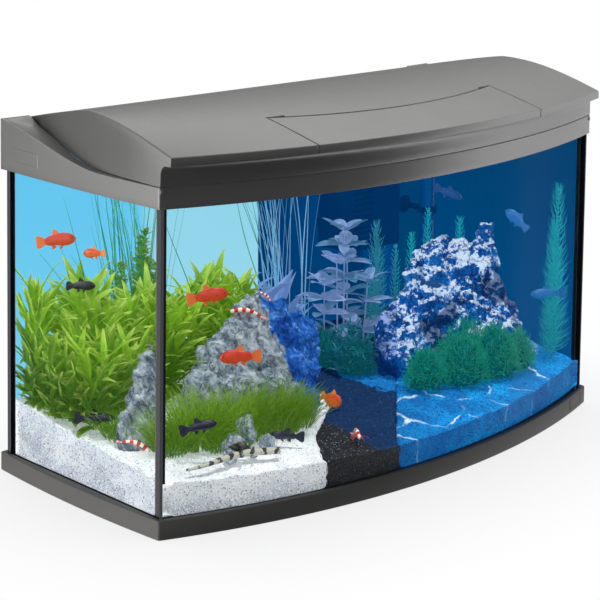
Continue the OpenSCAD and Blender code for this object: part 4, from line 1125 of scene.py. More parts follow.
def remeshed(node, voxel, lobes=()):
    me0 = NODE[node].data.copy()
    if lobes:
        import bmesh
        bm = bmesh.new()
        bm.from_mesh(me0)
        for (x, y, z, a, b, c) in lobes:
            mt = Matrix.Translation(Vector((x, y, z)) / 1000) @ Matrix.Diagonal((a / 1000, b / 1000, c / 1000, 1.0))
            bmesh.ops.create_icosphere(bm, subdivisions=2, radius=1.0, matrix=mt)
        bm.to_mesh(me0)
        bm.free()
    o = bpy.data.objects.new("tmp", me0)
    sc.collection.objects.link(o)
    w = o.modifiers.new("w", "WELD")
    w.merge_threshold = 0.00002
    r = o.modifiers.new("r", "REMESH")
    r.mode, r.voxel_size, r.adaptivity = "VOXEL", voxel, 0.0
    dg = bpy.context.evaluated_depsgraph_get()
    me = bpy.data.meshes.new_from_object(o.evaluated_get(dg), depsgraph=dg)
    bpy.data.objects.remove(o)
    n = len(me.vertices)
    co = np.zeros(n * 3, np.float32)
    me.vertices.foreach_get("co", co)
    nr = np.zeros(n * 3, np.float32)
    me.vertices.foreach_get("normal", nr)
    quads = np.array([list(p.vertices) for p in me.polygons if len(p.vertices) == 4], np.int32)
    tris = [tuple(p.vertices) for p in me.polygons if len(p.vertices) == 3]
    bpy.data.meshes.remove(me)
    return co.reshape(-1, 3).astype(float) * 1000, nr.reshape(-1, 3).astype(float), quads, tris


def faces_of(q, t):
    return [tuple(int(i) for i in f) for f in q] + t if t else q


def pnoise(v, scale, seed=0.0):
    return np.array([noise.noise(Vector((x * scale + seed, y * scale - seed, z * scale + 2 * seed))) for x, y, z in v])


def build_gravel(kind):
    v, nr, q, t = remeshed("gravel_" + kind, 0.0035)
    n1 = pnoise(v, 1 / 38.0, 3.1)
    n2 = pnoise(v, 1 / 9.0, 7.7)
    n3 = pnoise(v, 1 / 4.2, 1.3)
    up = np.clip(nr[:, 2], 0, 1)
    inner = v[:, 2] > 30
    amp = np.where(inner, 1.0, 0.0)
    # dunes on top; ragged borders between the colours
    v[:, 2] += amp * up * (3.4 * n1 + 1.7 * n2 + 0.9 * n3)
    flat = (1 - up) * amp
    v[:, 0] += flat * nr[:, 0] * (2.4 * n2 + 0.8 * n3)
    v[:, 1] += flat * nr[:, 1] * (1.6 * n2 + 0.6 * n3)
    g_in, g_r, g_y1 = GHW - 5 - 0.2, R_GLASS - 6 - 0.2, GYR - 5 - 0.2
    lim = ARC_C - np.sqrt(np.maximum(0, g_r ** 2 - v[:, 0] ** 2))
    near = np.where(np.abs(v[:, 0]) > 345, 13.0, 7.0)
    endx = np.where((v[:, 1] < -80) | (v[:, 1] > 150), 13.0, 7.0)
    v[:, 1] = np.where(v[:, 1] < lim + near, lim, v[:, 1])
    v[:, 1] = np.where(v[:, 1] > g_y1 - near, g_y1, v[:, 1])
    v[:, 0] = np.where(np.abs(v[:, 0]) > g_in - endx, np.sign(v[:, 0]) * g_in, v[:, 0])
    v[:, 0] = np.clip(v[:, 0], -g_in, g_in)
    o = mesh("gravel_bed_" + kind, v, faces_of(q, t), gravel_mat(kind), "tank", group=INTERIOR)
    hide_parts("gravel_" + kind)


for k in ("white", "black", "blue"):
    build_gravel(k)


# ---------------------------------------------------------------- stones
def ridged(v, scale, seed):
    return np.array([noise.ridged_multi_fractal(Vector((x * scale + seed, y * scale, z * scale - seed)), 0.9, 2.1, 5, 0.9, 2.0) for x, y, z in v])


def facet(v, cell, seed):
    """Worley cells give broken, angular faces"""
    out = np.zeros(len(v))
    for i, (x, y, z) in enumerate(v):
        d, _ = noise.voronoi(Vector((x / cell + seed, y / cell, z / cell - seed)), distance_metric="DISTANCE")
        out[i] = d[1] - d[0]
    return out


def build_rock(node, name, kind, seed, voxel=0.0028, amp=1.0, lobes=()):
    v, nr, q, t = remeshed(node, voxel, lobes)
    f1 = facet(v, 46.0, seed)
    f2 = facet(v, 17.0, seed + 5)
    rg = ridged(v, 1 / 34.0, seed)
    rg = (rg - rg.mean()) / (rg.std() + 1e-6)
    n3 = pnoise(v, 1 / 5.0, seed)
    f3 = facet(v, 8.5, seed + 9)
    d = amp * (8.0 * (np.clip(f1, 0, 0.5) - 0.25) * 2 + 4.2 * (np.clip(f2, 0, 0.5) - 0.25) * 2 + 1.5 * (np.clip(f3, 0, 0.5) - 0.25) * 2 + 2.2 * np.clip(rg, -2, 2) + 0.7 * n3)
    d = np.where(v[:, 2] < 60, np.clip(d, -9, 0.5), d)
    v = v + nr * d[:, None]
    v = keep_inside(v)
    o = mesh(name, v, faces_of(q, t), rock_mat(kind), "tank", group=INTERIOR)
    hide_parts(node)
    m = o.modifiers.new("soften", "NODES")
    m.node_group = SOFT
    return o


build_rock("rock_left", "stone_left", "left", 2.0)
build_rock("rock_right", "stone_right", "right", 9.0, lobes=((288, -26, 96, 56, 30, 50), (114, -8, 104, 34, 26, 52), (250, 2, 184, 44, 26, 42), (180, -2, 170, 40, 30, 60)))
build_rock("pebbles", "small_stones", "left", 5.0, 0.0017, 0.62)


# ---------------------------------------------------------------- plants
class Plant:
    def __init__(self, name, mat, nodes=(), slot="green_leaf"):
        self.v, self.f, self.a = [], [], []
        self.name, self.mat, self.nodes, self.slot = name, mat, nodes, slot

    def blade(self, base, az, el, L, W, droop=0.6, seg=6, fold=0.25, shape="leaf", shade=None, roll=0.0, wob=0.0, sway=0.0):
        """a leaf: base point (mm), heading, rise angle, length, width; droop bends it over"""
        p = np.array(base, float)
        r = rng.rand() if shade is None else shade
        o = len(self.v)
        ph = 6.28 * r + base[0]
        start = p.copy()
        for i in range(seg + 1):
            t = i / seg
            e = el - droop * t * t
            a = az + wob * math.sin(t * 5 + base[0])
            d = np.array([math.cos(e) * math.cos(a), math.cos(e) * math.sin(a), math.sin(e)])
            if i:
                p = p + d * (L / seg)
            if sway:
                k_ = sway * math.cos(ph + 5.5 * t) * 5.5 / seg * (0.4 + t)
                p = p + np.array([k_ * 0.8, k_ * 0.5, 0.0])
            if shape == "leaf":
                w = W * max(0.04, math.sin(math.pi * min(1, t * 0.93 + 0.05)) ** 0.8) * (1.08 - 0.35 * t)
            elif shape == "oval":
                w = W * max(0.05, math.sin(math.pi * min(1, t * 0.96 + 0.03)) ** 0.6)
            else:
                w = W * (1 - 0.85 * t ** 2)
            side = np.array([-math.sin(a), math.cos(a), 0.0])
            upv = np.cross(d, side)
            side = side * math.cos(roll) + upv * math.sin(roll)
            nrm = np.cross(d, side)
            # h is height over the gravel; the leaf material paints shade low in the plant from it
            h = min(1.0, max(0.0, (p[2] - 70) / 110.0))
            if fold:
                self.v += [tuple(p - side * w / 2 - nrm * 0), tuple(p + nrm * (-fold * w / 2)), tuple(p + side * w / 2)]
                self.a += [(r, t, 0.35 + 0.65 * h), (r * 0.7, t, 0.3 + 0.65 * h), (r, t, 0.35 + 0.65 * h)]
            else:
                self.v += [tuple(p - side * w / 2), tuple(p + side * w / 2)]
                self.a += [(r, t, 0.35 + 0.65 * h)] * 2
        k = 3 if fold else 2
        for i in range(seg):
            for c in range(k - 1):
                a0 = o + i * k + c
                self.f.append((a0, a0 + 1, a0 + k + 1, a0 + k))
        return p

    def stem(self, pts, r, shade=0.4):
        """thin round stalk through pts"""
        n = 5
        o = len(self.v)
        pts = [np.array(p, float) for p in pts]
        for i, p in enumerate(pts):
            for k in range(n):
                a = 2 * math.pi * k / n
                rr = r * (1 - 0.5 * i / len(pts))
                self.v.append((p[0] + rr * math.cos(a), p[1] + rr * math.sin(a), p[2]))
                # the third value is height, from which the leaf material paints shade low in the plant
                self.a.append((shade, 0.2, min(1.0, max(0.25, (p[2] - 70) / 110))))
        for i in range(len(pts) - 1):
            for k in range(n):
                self.f.append((o + i * n + k, o + i * n + (k + 1) % n, o + (i + 1) * n + (k + 1) % n, o + (i + 1) * n + k))

    def make(self):
        v = keep_inside(np.array(self.v))
        v[:, 2] = np.minimum(v[:, 2], 381.0)
        f = self.f
        o = mesh(self.name, v, f, self.mat, "tank", attr=self.a, group=INTERIOR)
        th = o.modifiers.new("thick", "SOLIDIFY")
        th.thickness, th.offset = 0.00025, 0.0
        if self.nodes:
            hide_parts(*self.nodes)
        return o


U = lambda a, b: a + (b - a) * rng.rand()
LAV = lin(128, 158, 214)
TEAL = lin(40, 150, 160)

# broad-leaved bushes: stems with long ascending leaves
mat_bl = leaf_mat("broad_leaf", lin(26, 104, 30), lin(168, 214, 56), lin(226, 240, 130), lin(126, 160, 220), lin(40, 140, 190), 0.30, 0.55)
pl = Plant("broadleaf_bush", mat_bl, ("plant_broadleaf",))
spots = []
for (cx, cy, r, h, n) in ((-300, 128, 40, 185, 12), (-215, 96, 34, 168, 9), (-334, 68, 24, 125, 7), (-95, 100, 32, 165, 7), (-5, 98, 26, 112, 4), (-345, 140, 22, 185, 7), (-352, 96, 16, 128, 4), (-262, 110, 30, 165, 6), (-150, 110, 28, 158, 5), (-120, 120, 24, 176, 4), (-285, 70, 30, 120, 5)):
    for i in range(n):
        a, q = U(0, 2 * math.pi), math.sqrt(rng.rand()) * r * 0.85
        spots.append((cx + q * math.cos(a), cy + q * math.sin(a), h * U(0.72, 1.02)))
for (x, y, h) in spots:
    z0 = 72 + 0.1 * max(0, y)
    lean = (U(-0.12, 0.12), U(-0.16, 0.04))
    pts = [(x + lean[0] * h * t, y + lean[1] * h * t, z0 + h * 0.72 * t) for t in np.linspace(0, 1, 7)]
    pl.stem(pts, 1.5)
    nl = int(h / 7.6)
    a = U(0, 6.28)
    for k in range(nl):
        t = 0.08 + 0.92 * k / nl
        bx = x + lean[0] * h * t
        by = y + lean[1] * h * t
        a += 2.4
        young = t > 0.8
        el = U(0.35, 0.95) + 0.55 * t
        pl.blade((bx, by, z0 + h * 0.72 * t), a, el, U(46, 80) * (0.85 if young else 1.0), U(8, 14.5), U(0.3, 0.95), 6, 0.3, "leaf", min(1, 0.05 + 0.95 * t * U(0.35, 1.5)), U(-0.6, 0.6))
    for k in range(5):
        pl.blade((x, y, z0 + U(0, 14)), U(0, 6.28), U(0.1, 0.9), U(30, 52), U(9, 14), U(0.5, 1.2), 6, 0.3, "leaf", U(0.1, 0.75), U(-0.5, 0.5))
pl.make()

# long strap leaves up to the surface, by day green, by night pale
mat_va = leaf_mat("strap_leaf", lin(14, 130, 96), lin(60, 180, 120), lin(70, 184, 120), lin(136, 190, 226), lin(60, 140, 190), 0.26, 0.62)
pl = Plant("strap_plant", mat_va, ("plant_vallisneria",))
for (cx, cy, r, n, lean, spread) in ((-178, 152, 17, 34, -0.02, 0.14), (-210, 156, 14, 14, -0.1, 0.16), (-225, 158, 10, 5, -0.42, 0.12), (45, 142, 16, 25, -0.05, 0.15), (52, 142, 14, 5, -0.3, 0.1), (98, 150, 8, 5, 0.0, 0.12), (-75, 150, 4, 1, -0.3, 0.02)):
    for i in range(n):
        a, q = U(0, 6.28), math.sqrt(rng.rand()) * r
        x, y = cx + q * math.cos(a), min(168, cy + q * math.sin(a))
        dx = lean + U(-spread, spread)
        L = U(200, 300)
        az = math.pi if dx < 0 else 0.0
        pl.blade((x, y, 86), az + U(-0.4, 0.4), math.pi / 2 - abs(dx), L, U(1.1, 2.2), U(-0.05, 0.3), 20, 0, "strap", U(0.3, 1.0), U(-0.8, 0.8), U(0, 0.5), U(3, 11))
pl.make()

# carpet of fine grass
mat_gr = leaf_mat("fine_grass", lin(70, 132, 22), lin(156, 206, 52), lin(182, 220, 84), lin(128, 180, 48), lin(128, 180, 48), 0.26, 0.26)
pl = Plant("grass_tufts", mat_gr, ("plant_grass",))
for (cx, cy, rx, ry, n, h) in ((-262, -40, 34, 24, 560, 62), (-205, -44, 34, 26, 620, 64), (-152, -60, 30, 24, 560, 60), (-232, -72, 36, 10, 240, 34), (-305, -40, 20, 20, 260, 52), (-118, -62, 16, 16, 220, 46), (-330, 22, 18, 20, 200, 40)):
    for i in range(n):
        a, q = U(0, 6.28), math.sqrt(rng.rand())
        x, y = cx + rx * q * math.cos(a), cy + ry * q * math.sin(a)
        out = math.atan2((y - cy) / ry, (x - cx) / rx) + U(-0.9, 0.9)
        L = h * U(0.6, 1.12)
        pl.blade((x, y, 60 + 0.1 * (y + 100)), out, math.pi / 2 - 0.12 - 0.5 * q * U(0.3, 1.2), L, U(0.9, 1.5), U(0.15, 0.9), 4, 0, "strap", U(0.1, 1.0), U(-0.5, 0.5))
pl.make()

# fine-leaved stems with reddish tips behind the left stone
mat_fn = leaf_mat("small_leaf", lin(40, 126, 50), lin(140, 196, 96), lin(196, 150, 110), lin(110, 160, 210), lin(40, 140, 190), 0.3, 0.5)
pl = Plant("fine_leaf_stems", mat_fn, (), "green_leaf")
for (x, y, h) in ((-222, 148, 160), (-206, 156, 180), (-190, 146, 150), (-178, 156, 186), (-166, 150, 162), (-198, 162, 192), (-214, 160, 142), (-234, 156, 134), (-184, 162, 172), (-170, 162, 148)):
    z0 = 84
    lean = (U(-0.14, 0.14), U(-0.08, 0.02))
    pl.stem([(x + lean[0] * h * t * t, y + lean[1] * h * t, z0 + h * t) for t in np.linspace(0, 1, 8)], 1.0, 0.5)
    zz = 10.0
    while zz < h:
        t = zz / h
        for k in range(5):
            a = k * 1.257 + zz * 0.5 + U(-0.3, 0.3)
            pl.blade((x + lean[0] * h * t * t, y + lean[1] * h * t, z0 + zz), a, U(0.1, 0.8) + 0.3 * t, U(9, 17), U(3, 5.5), U(0.2, 0.9), 4, 0.2, "leaf", U(0.1, 1.0), U(-0.6, 0.6))
        zz += U(4.5, 7.0)
pl.make()

# stem plant with opposite oval leaves, and its bushy foot
mat_st = leaf_mat("oval_leaf", lin(70, 120, 40), lin(120, 170, 70), lin(150, 190, 90), lin(158, 176, 226), lin(70, 150, 200), 0.2, 0.6, lin(22, 104, 140))
pl = Plant("oval_leaf_stems", mat_st, (), "blue_leaf")
for (x, y, h, n) in ((97, 72, 166, 6), (80, 66, 124, 4), (116, 84, 138, 5), (68, 80, 96, 4), (128, 66, 92, 3)):
    z0 = 84
    top = (x + U(-6, 6), y + U(-6, 4))
    pts = [(x + (top[0] - x) * t, y + (top[1] - y) * t, z0 + h * t) for t in np.linspace(0, 1, 9)]
    pl.stem(pts, 1.3, 0.6)
    for k in range(n):
        t = 0.30 + 0.70 * (k / (n - 1)) ** 0.8
        a = k * 1.05 + U(-0.4, 0.4)
        lv = 6 if k == n - 1 else 4 if k == n - 2 else 3
        for s_ in range(lv):
            aa = a + s_ * 2 * math.pi / lv + U(-0.25, 0.25)
            pl.blade((x + (top[0] - x) * t, y + (top[1] - y) * t, z0 + h * t), aa, U(0.1, 0.55) + (0.3 if k == n - 1 else 0), U(30, 44) * (0.8 if k == n - 1 else 1), U(14, 20), U(0.3, 0.9), 6, 0.22, "oval", U(0.5, 1.0) if rng.rand() < 0.6 else U(0.0, 0.35), U(-0.3, 0.3))
pl.make()
mat_tb = leaf_mat("teal_leaf", lin(34, 110, 60), lin(80, 170, 90), lin(120, 190, 100), lin(28, 122, 148), lin(24, 150, 170), 0.2, 0.55)
pl = Plant("teal_bush", mat_tb, (), "blue_leaf")
for i in range(620):
    a, q = U(0, 6.28), math.sqrt(rng.rand())
    x, y = 66 + 34 * q * math.cos(a), 34 + 34 * q * math.sin(a)
    pl.blade((x, y, 78 + 66 * rng.rand() * (1 - 0.6 * q)), U(0, 6.28), U(-0.2, 1.2), U(9, 20), U(2, 4.5), U(0.2, 0.9), 4, 0.2, "leaf", U(0.0, 1.0), U(-0.4, 0.4))
pl.make()

# feathery stems: whorls of needles
mat_fe = leaf_mat("feather_leaf", lin(34, 120, 60), lin(80, 190, 90), lin(150, 210, 110), lin(52, 146, 172), lin(24, 172, 192), 0.28, 0.6)
pl = Plant("feather_stems", mat_fe, ("plant_feather",), "blue_leaf")
for (x, y, h, r) in ((160, 74, 160, 22), (172, 82, 120, 18), (146, 70, 96, 18), (345, 44, 132, 20), (338, 52, 104, 16), (348, -86, 225, 24), (336, -94, 150, 22), (352, -78, 180, 22), (326, -92, 96, 18), (250, 62, 172, 14), (190, 66, 132, 12), (206, 52, 150, 14), (292, 40, 160, 16)):
    z0 = 68 + 0.1 * (y + 100)
    pl.stem([(x, y, z0 + h * t) for t in np.linspace(0, 1, 8)], 1.2, 0.5)
    zz = 8.0
    while zz < h:
        t = zz / h
        rr = r * (1 - 0.45 * t ** 3)
        for k in range(9):
            a = k * 0.698 + zz
            pl.blade((x, y, z0 + zz), a, U(0.0, 0.5) + 0.5 * t, rr * U(0.9, 1.15), 1.2, -U(0.3, 0.9), 3, 0, "strap", U(0.3, 1.0))
        zz += 6.2
pl.make()

# moss cushion in front of the right stone
mat_mo = leaf_mat("moss", lin(20, 90, 70), lin(50, 150, 110), lin(60, 160, 120), lin(16, 112, 126), lin(22, 156, 138), 0.2, 0.55)
pl = Plant("moss_cushion", mat_mo, ("plant_moss", "plant_stems"), "blue_leaf")
for (cx, cy, rx, ry, h, n) in ((110, -66, 30, 22, 50, 900), (165, -80, 36, 28, 62, 1300), (222, -86, 36, 28, 68, 1300), (270, -84, 26, 20, 52, 800), (190, -58, 60, 16, 72, 800), (66, 20, 26, 26, 44, 700), (44, 56, 20, 20, 52, 500)):
    for i in range(n):
        a, q = U(0, 6.28), math.sqrt(rng.rand())
        x, y = cx + rx * q * math.cos(a), cy + ry * q * math.sin(a)
        top = h * math.sqrt(max(0.02, 1 - q * q))
        z = 60 + 0.1 * (y + 100) + top * U(0.55, 1.0)
        out = math.atan2((y - cy) / ry, (x - cx) / rx)
        pl.blade((x, y, z), out + U(-1.2, 1.2), math.pi / 2 - 1.1 * q + U(-0.7, 0.5), U(7, 14), 1.3, U(-1.2, 1.2), 4, 0, "strap", U(0.1, 1.0), U(-0.5, 0.5), 0.6)
pl.make()
# a dense heart so that the cushions don't show through
V, F = [], []
for (cx, cy, rx, ry, h) in ((110, -66, 24, 17, 42), (165, -80, 30, 22, 54), (222, -86, 30, 22, 60), (270, -84, 21, 15, 44), (66, 20, 22, 22, 38), (44, 56, 16, 16, 44)):
    o_ = len(V)
    nu, nv = 20, 10
    for j in range(nv + 1):
        for i in range(nu):
            th, ph = 2 * math.pi * i / nu, math.pi / 2 * j / nv
            w = 1 + 0.1 * noise.noise(Vector((cx + 3 * math.cos(th), cy + 3 * math.sin(th), 4 * ph)))
            V.append((cx + rx * w * math.cos(th) * math.cos(ph), cy + ry * w * math.sin(th) * math.cos(ph), 64 + 0.1 * (cy + 100) + h * w * math.sin(ph)))
    F += [tuple(int(i) for i in q) for q in grid_faces(nv + 1, nu, o_, wrap=True)]
    F.append(tuple(range(o_ + nu - 1, o_ - 1, -1)))
# the heart carries a painted glow through its emission
mh = mesh("moss_hearts", V, F, simple("moss_dark", lin(6, 96, 98), 0.9, 0.1, 300.0, 0.4, 1.0, emit=0.3), "tank", group=INTERIOR)


# ---------------------------------------------------------------- fish and shrimps
def fish_mat(name, body, belly, fin, emit=0.15, iri=0.0):
    g = G(name)
    at = g.n("Attribute", attribute_name="lv").outputs["Vector"]
    t, h, k = g.xyz(at)
    n = g.noise(260.0, 3.0)
    sc_ = g.vor(900.0)
    col = g.mix(g.map(h, 0.2, 0.8), belly, body)
    col = g.mix(g.map(n, 0.35, 0.7, 0, 0.3), col, tuple(c * 0.6 for c in body))
    col = g.mix(k, col, fin)
    # the emission is a painted glow
    return g.done(g.pbr(col, 0.35, 0.6, g.bump(sc_, 0.0003, 0.5), emit))


EYE = simple("fish_eye", (0.004, 0.004, 0.005), 0.1, 0.9)


def fish(name, pos, az, pitch, L, mat, tall=0.36, fat=0.17, tail=1.0):
    """body lofted nose to tail, with a forked tail, back and belly fins as thin lofts"""
    V, F, A = [], [], []
    nt_, nk = 22, 14
    def prof(t):
        return max(0.03, min(1.0, 1.02 * math.sin(math.pi * min(1, t ** 0.80)) ** 0.8 * (1 - 0.2 * t)) + 0.36 * smooth((t - 0.62) / 0.3))
    for i in range(nt_ + 1):
        t = i / nt_
        x = (0.5 - t * 0.78) * L
        hgt, wid = 0.5 * tall * L * prof(t), 0.5 * fat * L * prof(t) * (1 - 0.55 * t)
        zc = 0.02 * L * math.sin(math.pi * t)
        for k in range(nk):
            a = 2 * math.pi * k / nk
            V.append((x, wid * math.cos(a), zc + hgt * math.sin(a)))
            A.append((t, 0.5 + 0.5 * math.sin(a), 0.0))
    F += [tuple(int(i) for i in q) for q in grid_faces(nt_ + 1, nk, 0, wrap=True)]
    F.append(tuple(range(nk)))
    F.append(tuple(range((nt_ + 1) * nk - 1, nt_ * nk - 1, -1)))

    def fin(pts, th=0.012):
        o = len(V)
        for s in (1, -1):
            for (x, z, e) in pts:
                V.append((x * L, s * th * L * (1 - e), z * L))
                A.append((0.5, 0.5, 0.35 + 0.65 * e))
        n = len(pts)
        F.append(tuple(range(o, o + n)))
        F.append(tuple(range(o + 2 * n - 1, o + n - 1, -1)))
        for i in range(n):
            j = (i + 1) % n
            F.append((o + i, o + n + i, o + n + j, o + j))
    nbody = len(F)
    fin([(-0.25, 0.055, 0), (-0.33, 0.11 * tail, 0.6), (-0.43, 0.165 * tail, 0.9), (-0.49, 0.15 * tail, 0.95), (-0.505, 0.08, 0.95), (-0.50, 0.0, 0.95), (-0.505, -0.08, 0.95), (-0.49, -0.15 * tail, 0.95), (-0.43, -0.165 * tail, 0.9), (-0.33, -0.11 * tail, 0.6), (-0.25, -0.055, 0)])
    b = 0.5 * tall
    fin([(0.13, b * 0.82, 0), (0.07, b + 0.04, 0.6), (0.0, b + 0.10, 0.9), (-0.06, b + 0.11, 0.95), (-0.085, b + 0.02, 0.8), (-0.13, b * 0.5, 0)])
    fin([(0.0, -b * 0.85, 0), (-0.06, -b - 0.02, 0.7), (-0.12, -b - 0.05, 0.95), (-0.125, -b * 0.7, 0.7), (-0.13, -b * 0.4, 0)])
    fin([(0.17, -b * 0.75, 0), (0.12, -b - 0.03, 0.8), (0.07, -b - 0.05, 0.95), (0.09, -b * 0.85, 0)])
    V = np.array(V)
    ca, sa, cp, sp = math.cos(az), math.sin(az), math.cos(pitch), math.sin(pitch)
    Rm = np.array([[ca * cp, -sa, -ca * sp], [sa * cp, ca, -sa * sp], [sp, 0, cp]])
    W = V @ Rm.T + np.array(pos)
    o = mesh(name, W, F, mat, "tank", attr=A, group=INTERIOR)
    o.data.polygons.foreach_set("use_smooth", [i < nbody for i in range(len(o.data.polygons))])
    # eyes
    EV, EF = [], []
    for s in (1, -1):
        o_ = len(EV)
        c = np.array([0.40 * L, s * 0.5 * fat * L * prof(0.13) * 0.88, 0.045 * L])
        for j in range(7):
            for i in range(10):
                th, ph = 2 * math.pi * i / 10, -math.pi / 2 + math.pi * j / 6
                EV.append(c + 0.024 * L * np.array([math.cos(th) * math.cos(ph), math.sin(th) * math.cos(ph) * 0.7, math.sin(ph)]))
        EF += [tuple(int(i) for i in q) for q in grid_faces(7, 10, o_, wrap=True)]
    mesh(name + "_eyes", np.array(EV) @ Rm.T + np.array(pos), EF, EYE, "tank", group=INTERIOR)
    return o


red = fish_mat("fish_red", lin(206, 44, 14), lin(236, 84, 30), lin(238, 120, 60))
orange = fish_mat("fish_orange", lin(224, 78, 26), lin(246, 120, 50), lin(250, 150, 80))
blk = fish_mat("fish_black", lin(8, 10, 22), lin(14, 18, 34), lin(10, 12, 26), 0.05)
navy = fish_mat("fish_navy", lin(10, 16, 42), lin(18, 26, 58), lin(12, 18, 44), 0.08)
# the blue fish carry a stronger painted glow
ghost = fish_mat("fish_blue", lin(8, 92, 160), lin(14, 110, 178), lin(6, 84, 150), 0.5)
ghost2 = fish_mat("fish_dim", lin(2, 60, 120), lin(6, 80, 140), lin(2, 60, 116), 0.5)
SEE = -math.pi / 4 + 0.12        # heading that lies square to the main view
fish("fish_red_a", (-326, 150, 285), SEE, 0.10, 49, red)
fish("fish_orange_a", (-283, 130, 266), SEE + math.pi * 0.86, -0.12, 30, orange, 0.42)
fish("fish_black_a", (-344, 78, 246), SEE + 0.1, -0.04, 35, blk)
fish("fish_navy_a", (-354, 38, 97), SEE, -0.03, 48, navy, 0.24)
fish("fish_red_b", (-247, -40, 241), SEE, 0.16, 50, red, 0.36)
fish("fish_red_c", (-222, -70, 170), SEE + math.pi, -0.06, 50, red, 0.36)
fish("fish_black_b", (-306, -92, 109), SEE, 0.22, 44, navy, 0.28)
fish("fish_black_c", (-181, -108, 75), SEE + math.pi, 0.06, 42, navy, 0.26)
fish("fish_orange_b", (-59, -60, 82), SEE + 0.5, -0.5, 36, orange, 0.5)
fish("fish_blue_a", (289, 60, 276), SEE + 0.1, -0.42, 44, ghost2, 0.30)
fish("fish_blue_b", (322, -36, 250), SEE + 2.6, 0.65, 40, ghost, 0.42)
fish("fish_blue_c", (322, -92, 158), SEE + math.pi, -0.06, 46, ghost, 0.32)
fish("fish_blue_d", (120, -62, 199), SEE + 0.2, -0.25, 30, ghost2, 0.32)


def shrimp_mat():
    g = G("shrimp_bands")
    at = g.n("Attribute", attribute_name="lv").outputs["Vector"]
    t, h, k = g.xyz(at)
    band = g.math("SINE", g.math("MULTIPLY", t, 27.0))
    n = g.noise(500.0, 3.0)
    col = g.mix(g.map(g.math("ADD", band, g.map(n, 0.3, 0.7, -0.2, 0.2)), -0.15, 0.15), lin(206, 34, 14), lin(246, 240, 226))
    col = g.mix(k, col, lin(206, 60, 30))
    # the emission is a painted glow
    return g.done(g.pbr(col, 0.3, 0.6, g.bump(n, 0.0002, 0.5), 0.22))


SHR = shrimp_mat()


def tube(V, F, A, pts, radii, t0=0.0, t1=1.0, k=0.0, nk=8, flat=1.0):
    o = len(V)
    pts = [np.array(p, float) for p in pts]
    for i, p in enumerate(pts):
        d = pts[min(i + 1, len(pts) - 1)] - pts[max(i - 1, 0)]
        d = d / (np.linalg.norm(d) + 1e-9)
        s = np.cross(d, [0.1, 0.2, 1.0])
        s = s / (np.linalg.norm(s) + 1e-9)
        u_ = np.cross(s, d)
        for j in range(nk):
            a = 2 * math.pi * j / nk
            V.append(tuple(p + radii[i] * (s * math.cos(a) * flat + u_ * math.sin(a))))
            A.append((t0 + (t1 - t0) * i / (len(pts) - 1), 0.5 + 0.5 * math.sin(a), k))
    F += [tuple(int(i) for i in q) for q in grid_faces(len(pts), nk, o, wrap=True)]
    F.append(tuple(range(o + nk - 1, o - 1, -1)))
    F.append(tuple(range(o + (len(pts) - 1) * nk, o + len(pts) * nk)))


def shrimp(name, pos, az, pitch, L):
    V, F, A = [], [], []
    n = 16
    pts, rad = [], []
    for i in range(n + 1):
        t = i / n
        pts.append(((0.5 - t) * L, 0, 0.12 * L * math.sin(math.pi * t) - 0.10 * L * t * t))
        ring = 1 + 0.10 * math.sin(t * 40)
        rad.append(L * (0.085 * math.sin(math.pi * min(1, 0.12 + t * 0.8)) ** 0.7 * (1 - 0.45 * t) + 0.004) * ring)
    tube(V, F, A, pts, rad, flat=0.75)
    for s in (1, -1):
        tube(V, F, A, [(0.48 * L, s * 0.02 * L, 0.02 * L), (0.62 * L, s * 0.10 * L, 0.09 * L), (0.82 * L, s * 0.2 * L, 0.07 * L)], [0.008 * L, 0.006 * L, 0.003 * L], k=1.0, nk=5)
        for q in range(4):
            x = (0.28 - 0.13 * q) * L
            tube(V, F, A, [(x, s * 0.03 * L, -0.01 * L), (x + 0.03 * L, s * 0.11 * L, 0.0), (x + 0.05 * L, s * 0.15 * L, -0.11 * L)], [0.009 * L, 0.007 * L, 0.004 * L], k=0.8, nk=5)
        tube(V, F, A, [(-0.46 * L, 0, -0.08 * L), (-0.55 * L, s * 0.05 * L, -0.10 * L), (-0.62 * L, s * 0.09 * L, -0.12 * L)], [0.02 * L, 0.035 * L, 0.012 * L], k=0.3, nk=6)
    V = np.array(V)
    ca, sa, cp, sp = math.cos(az), math.sin(az), math.cos(pitch), math.sin(pitch)
    Rm = np.array([[ca * cp, -sa, -ca * sp], [sa * cp, ca, -sa * sp], [sp, 0, cp]])
    return mesh(name, V @ Rm.T + np.array(pos), F, SHR, "tank", attr=A, group=INTERIOR)


shrimp("shrimp_a", (-336, -14, 74), SEE, -0.4, 36)
shrimp("shrimp_b", (-168, -22, 203), SEE + math.pi, 0.1, 40)
shrimp("shrimp_c", (-124, -6, 214), SEE, -0.7, 20)
shrimp("shrimp_d", (-90, -134, 64), -2.2, 0.12, 44)


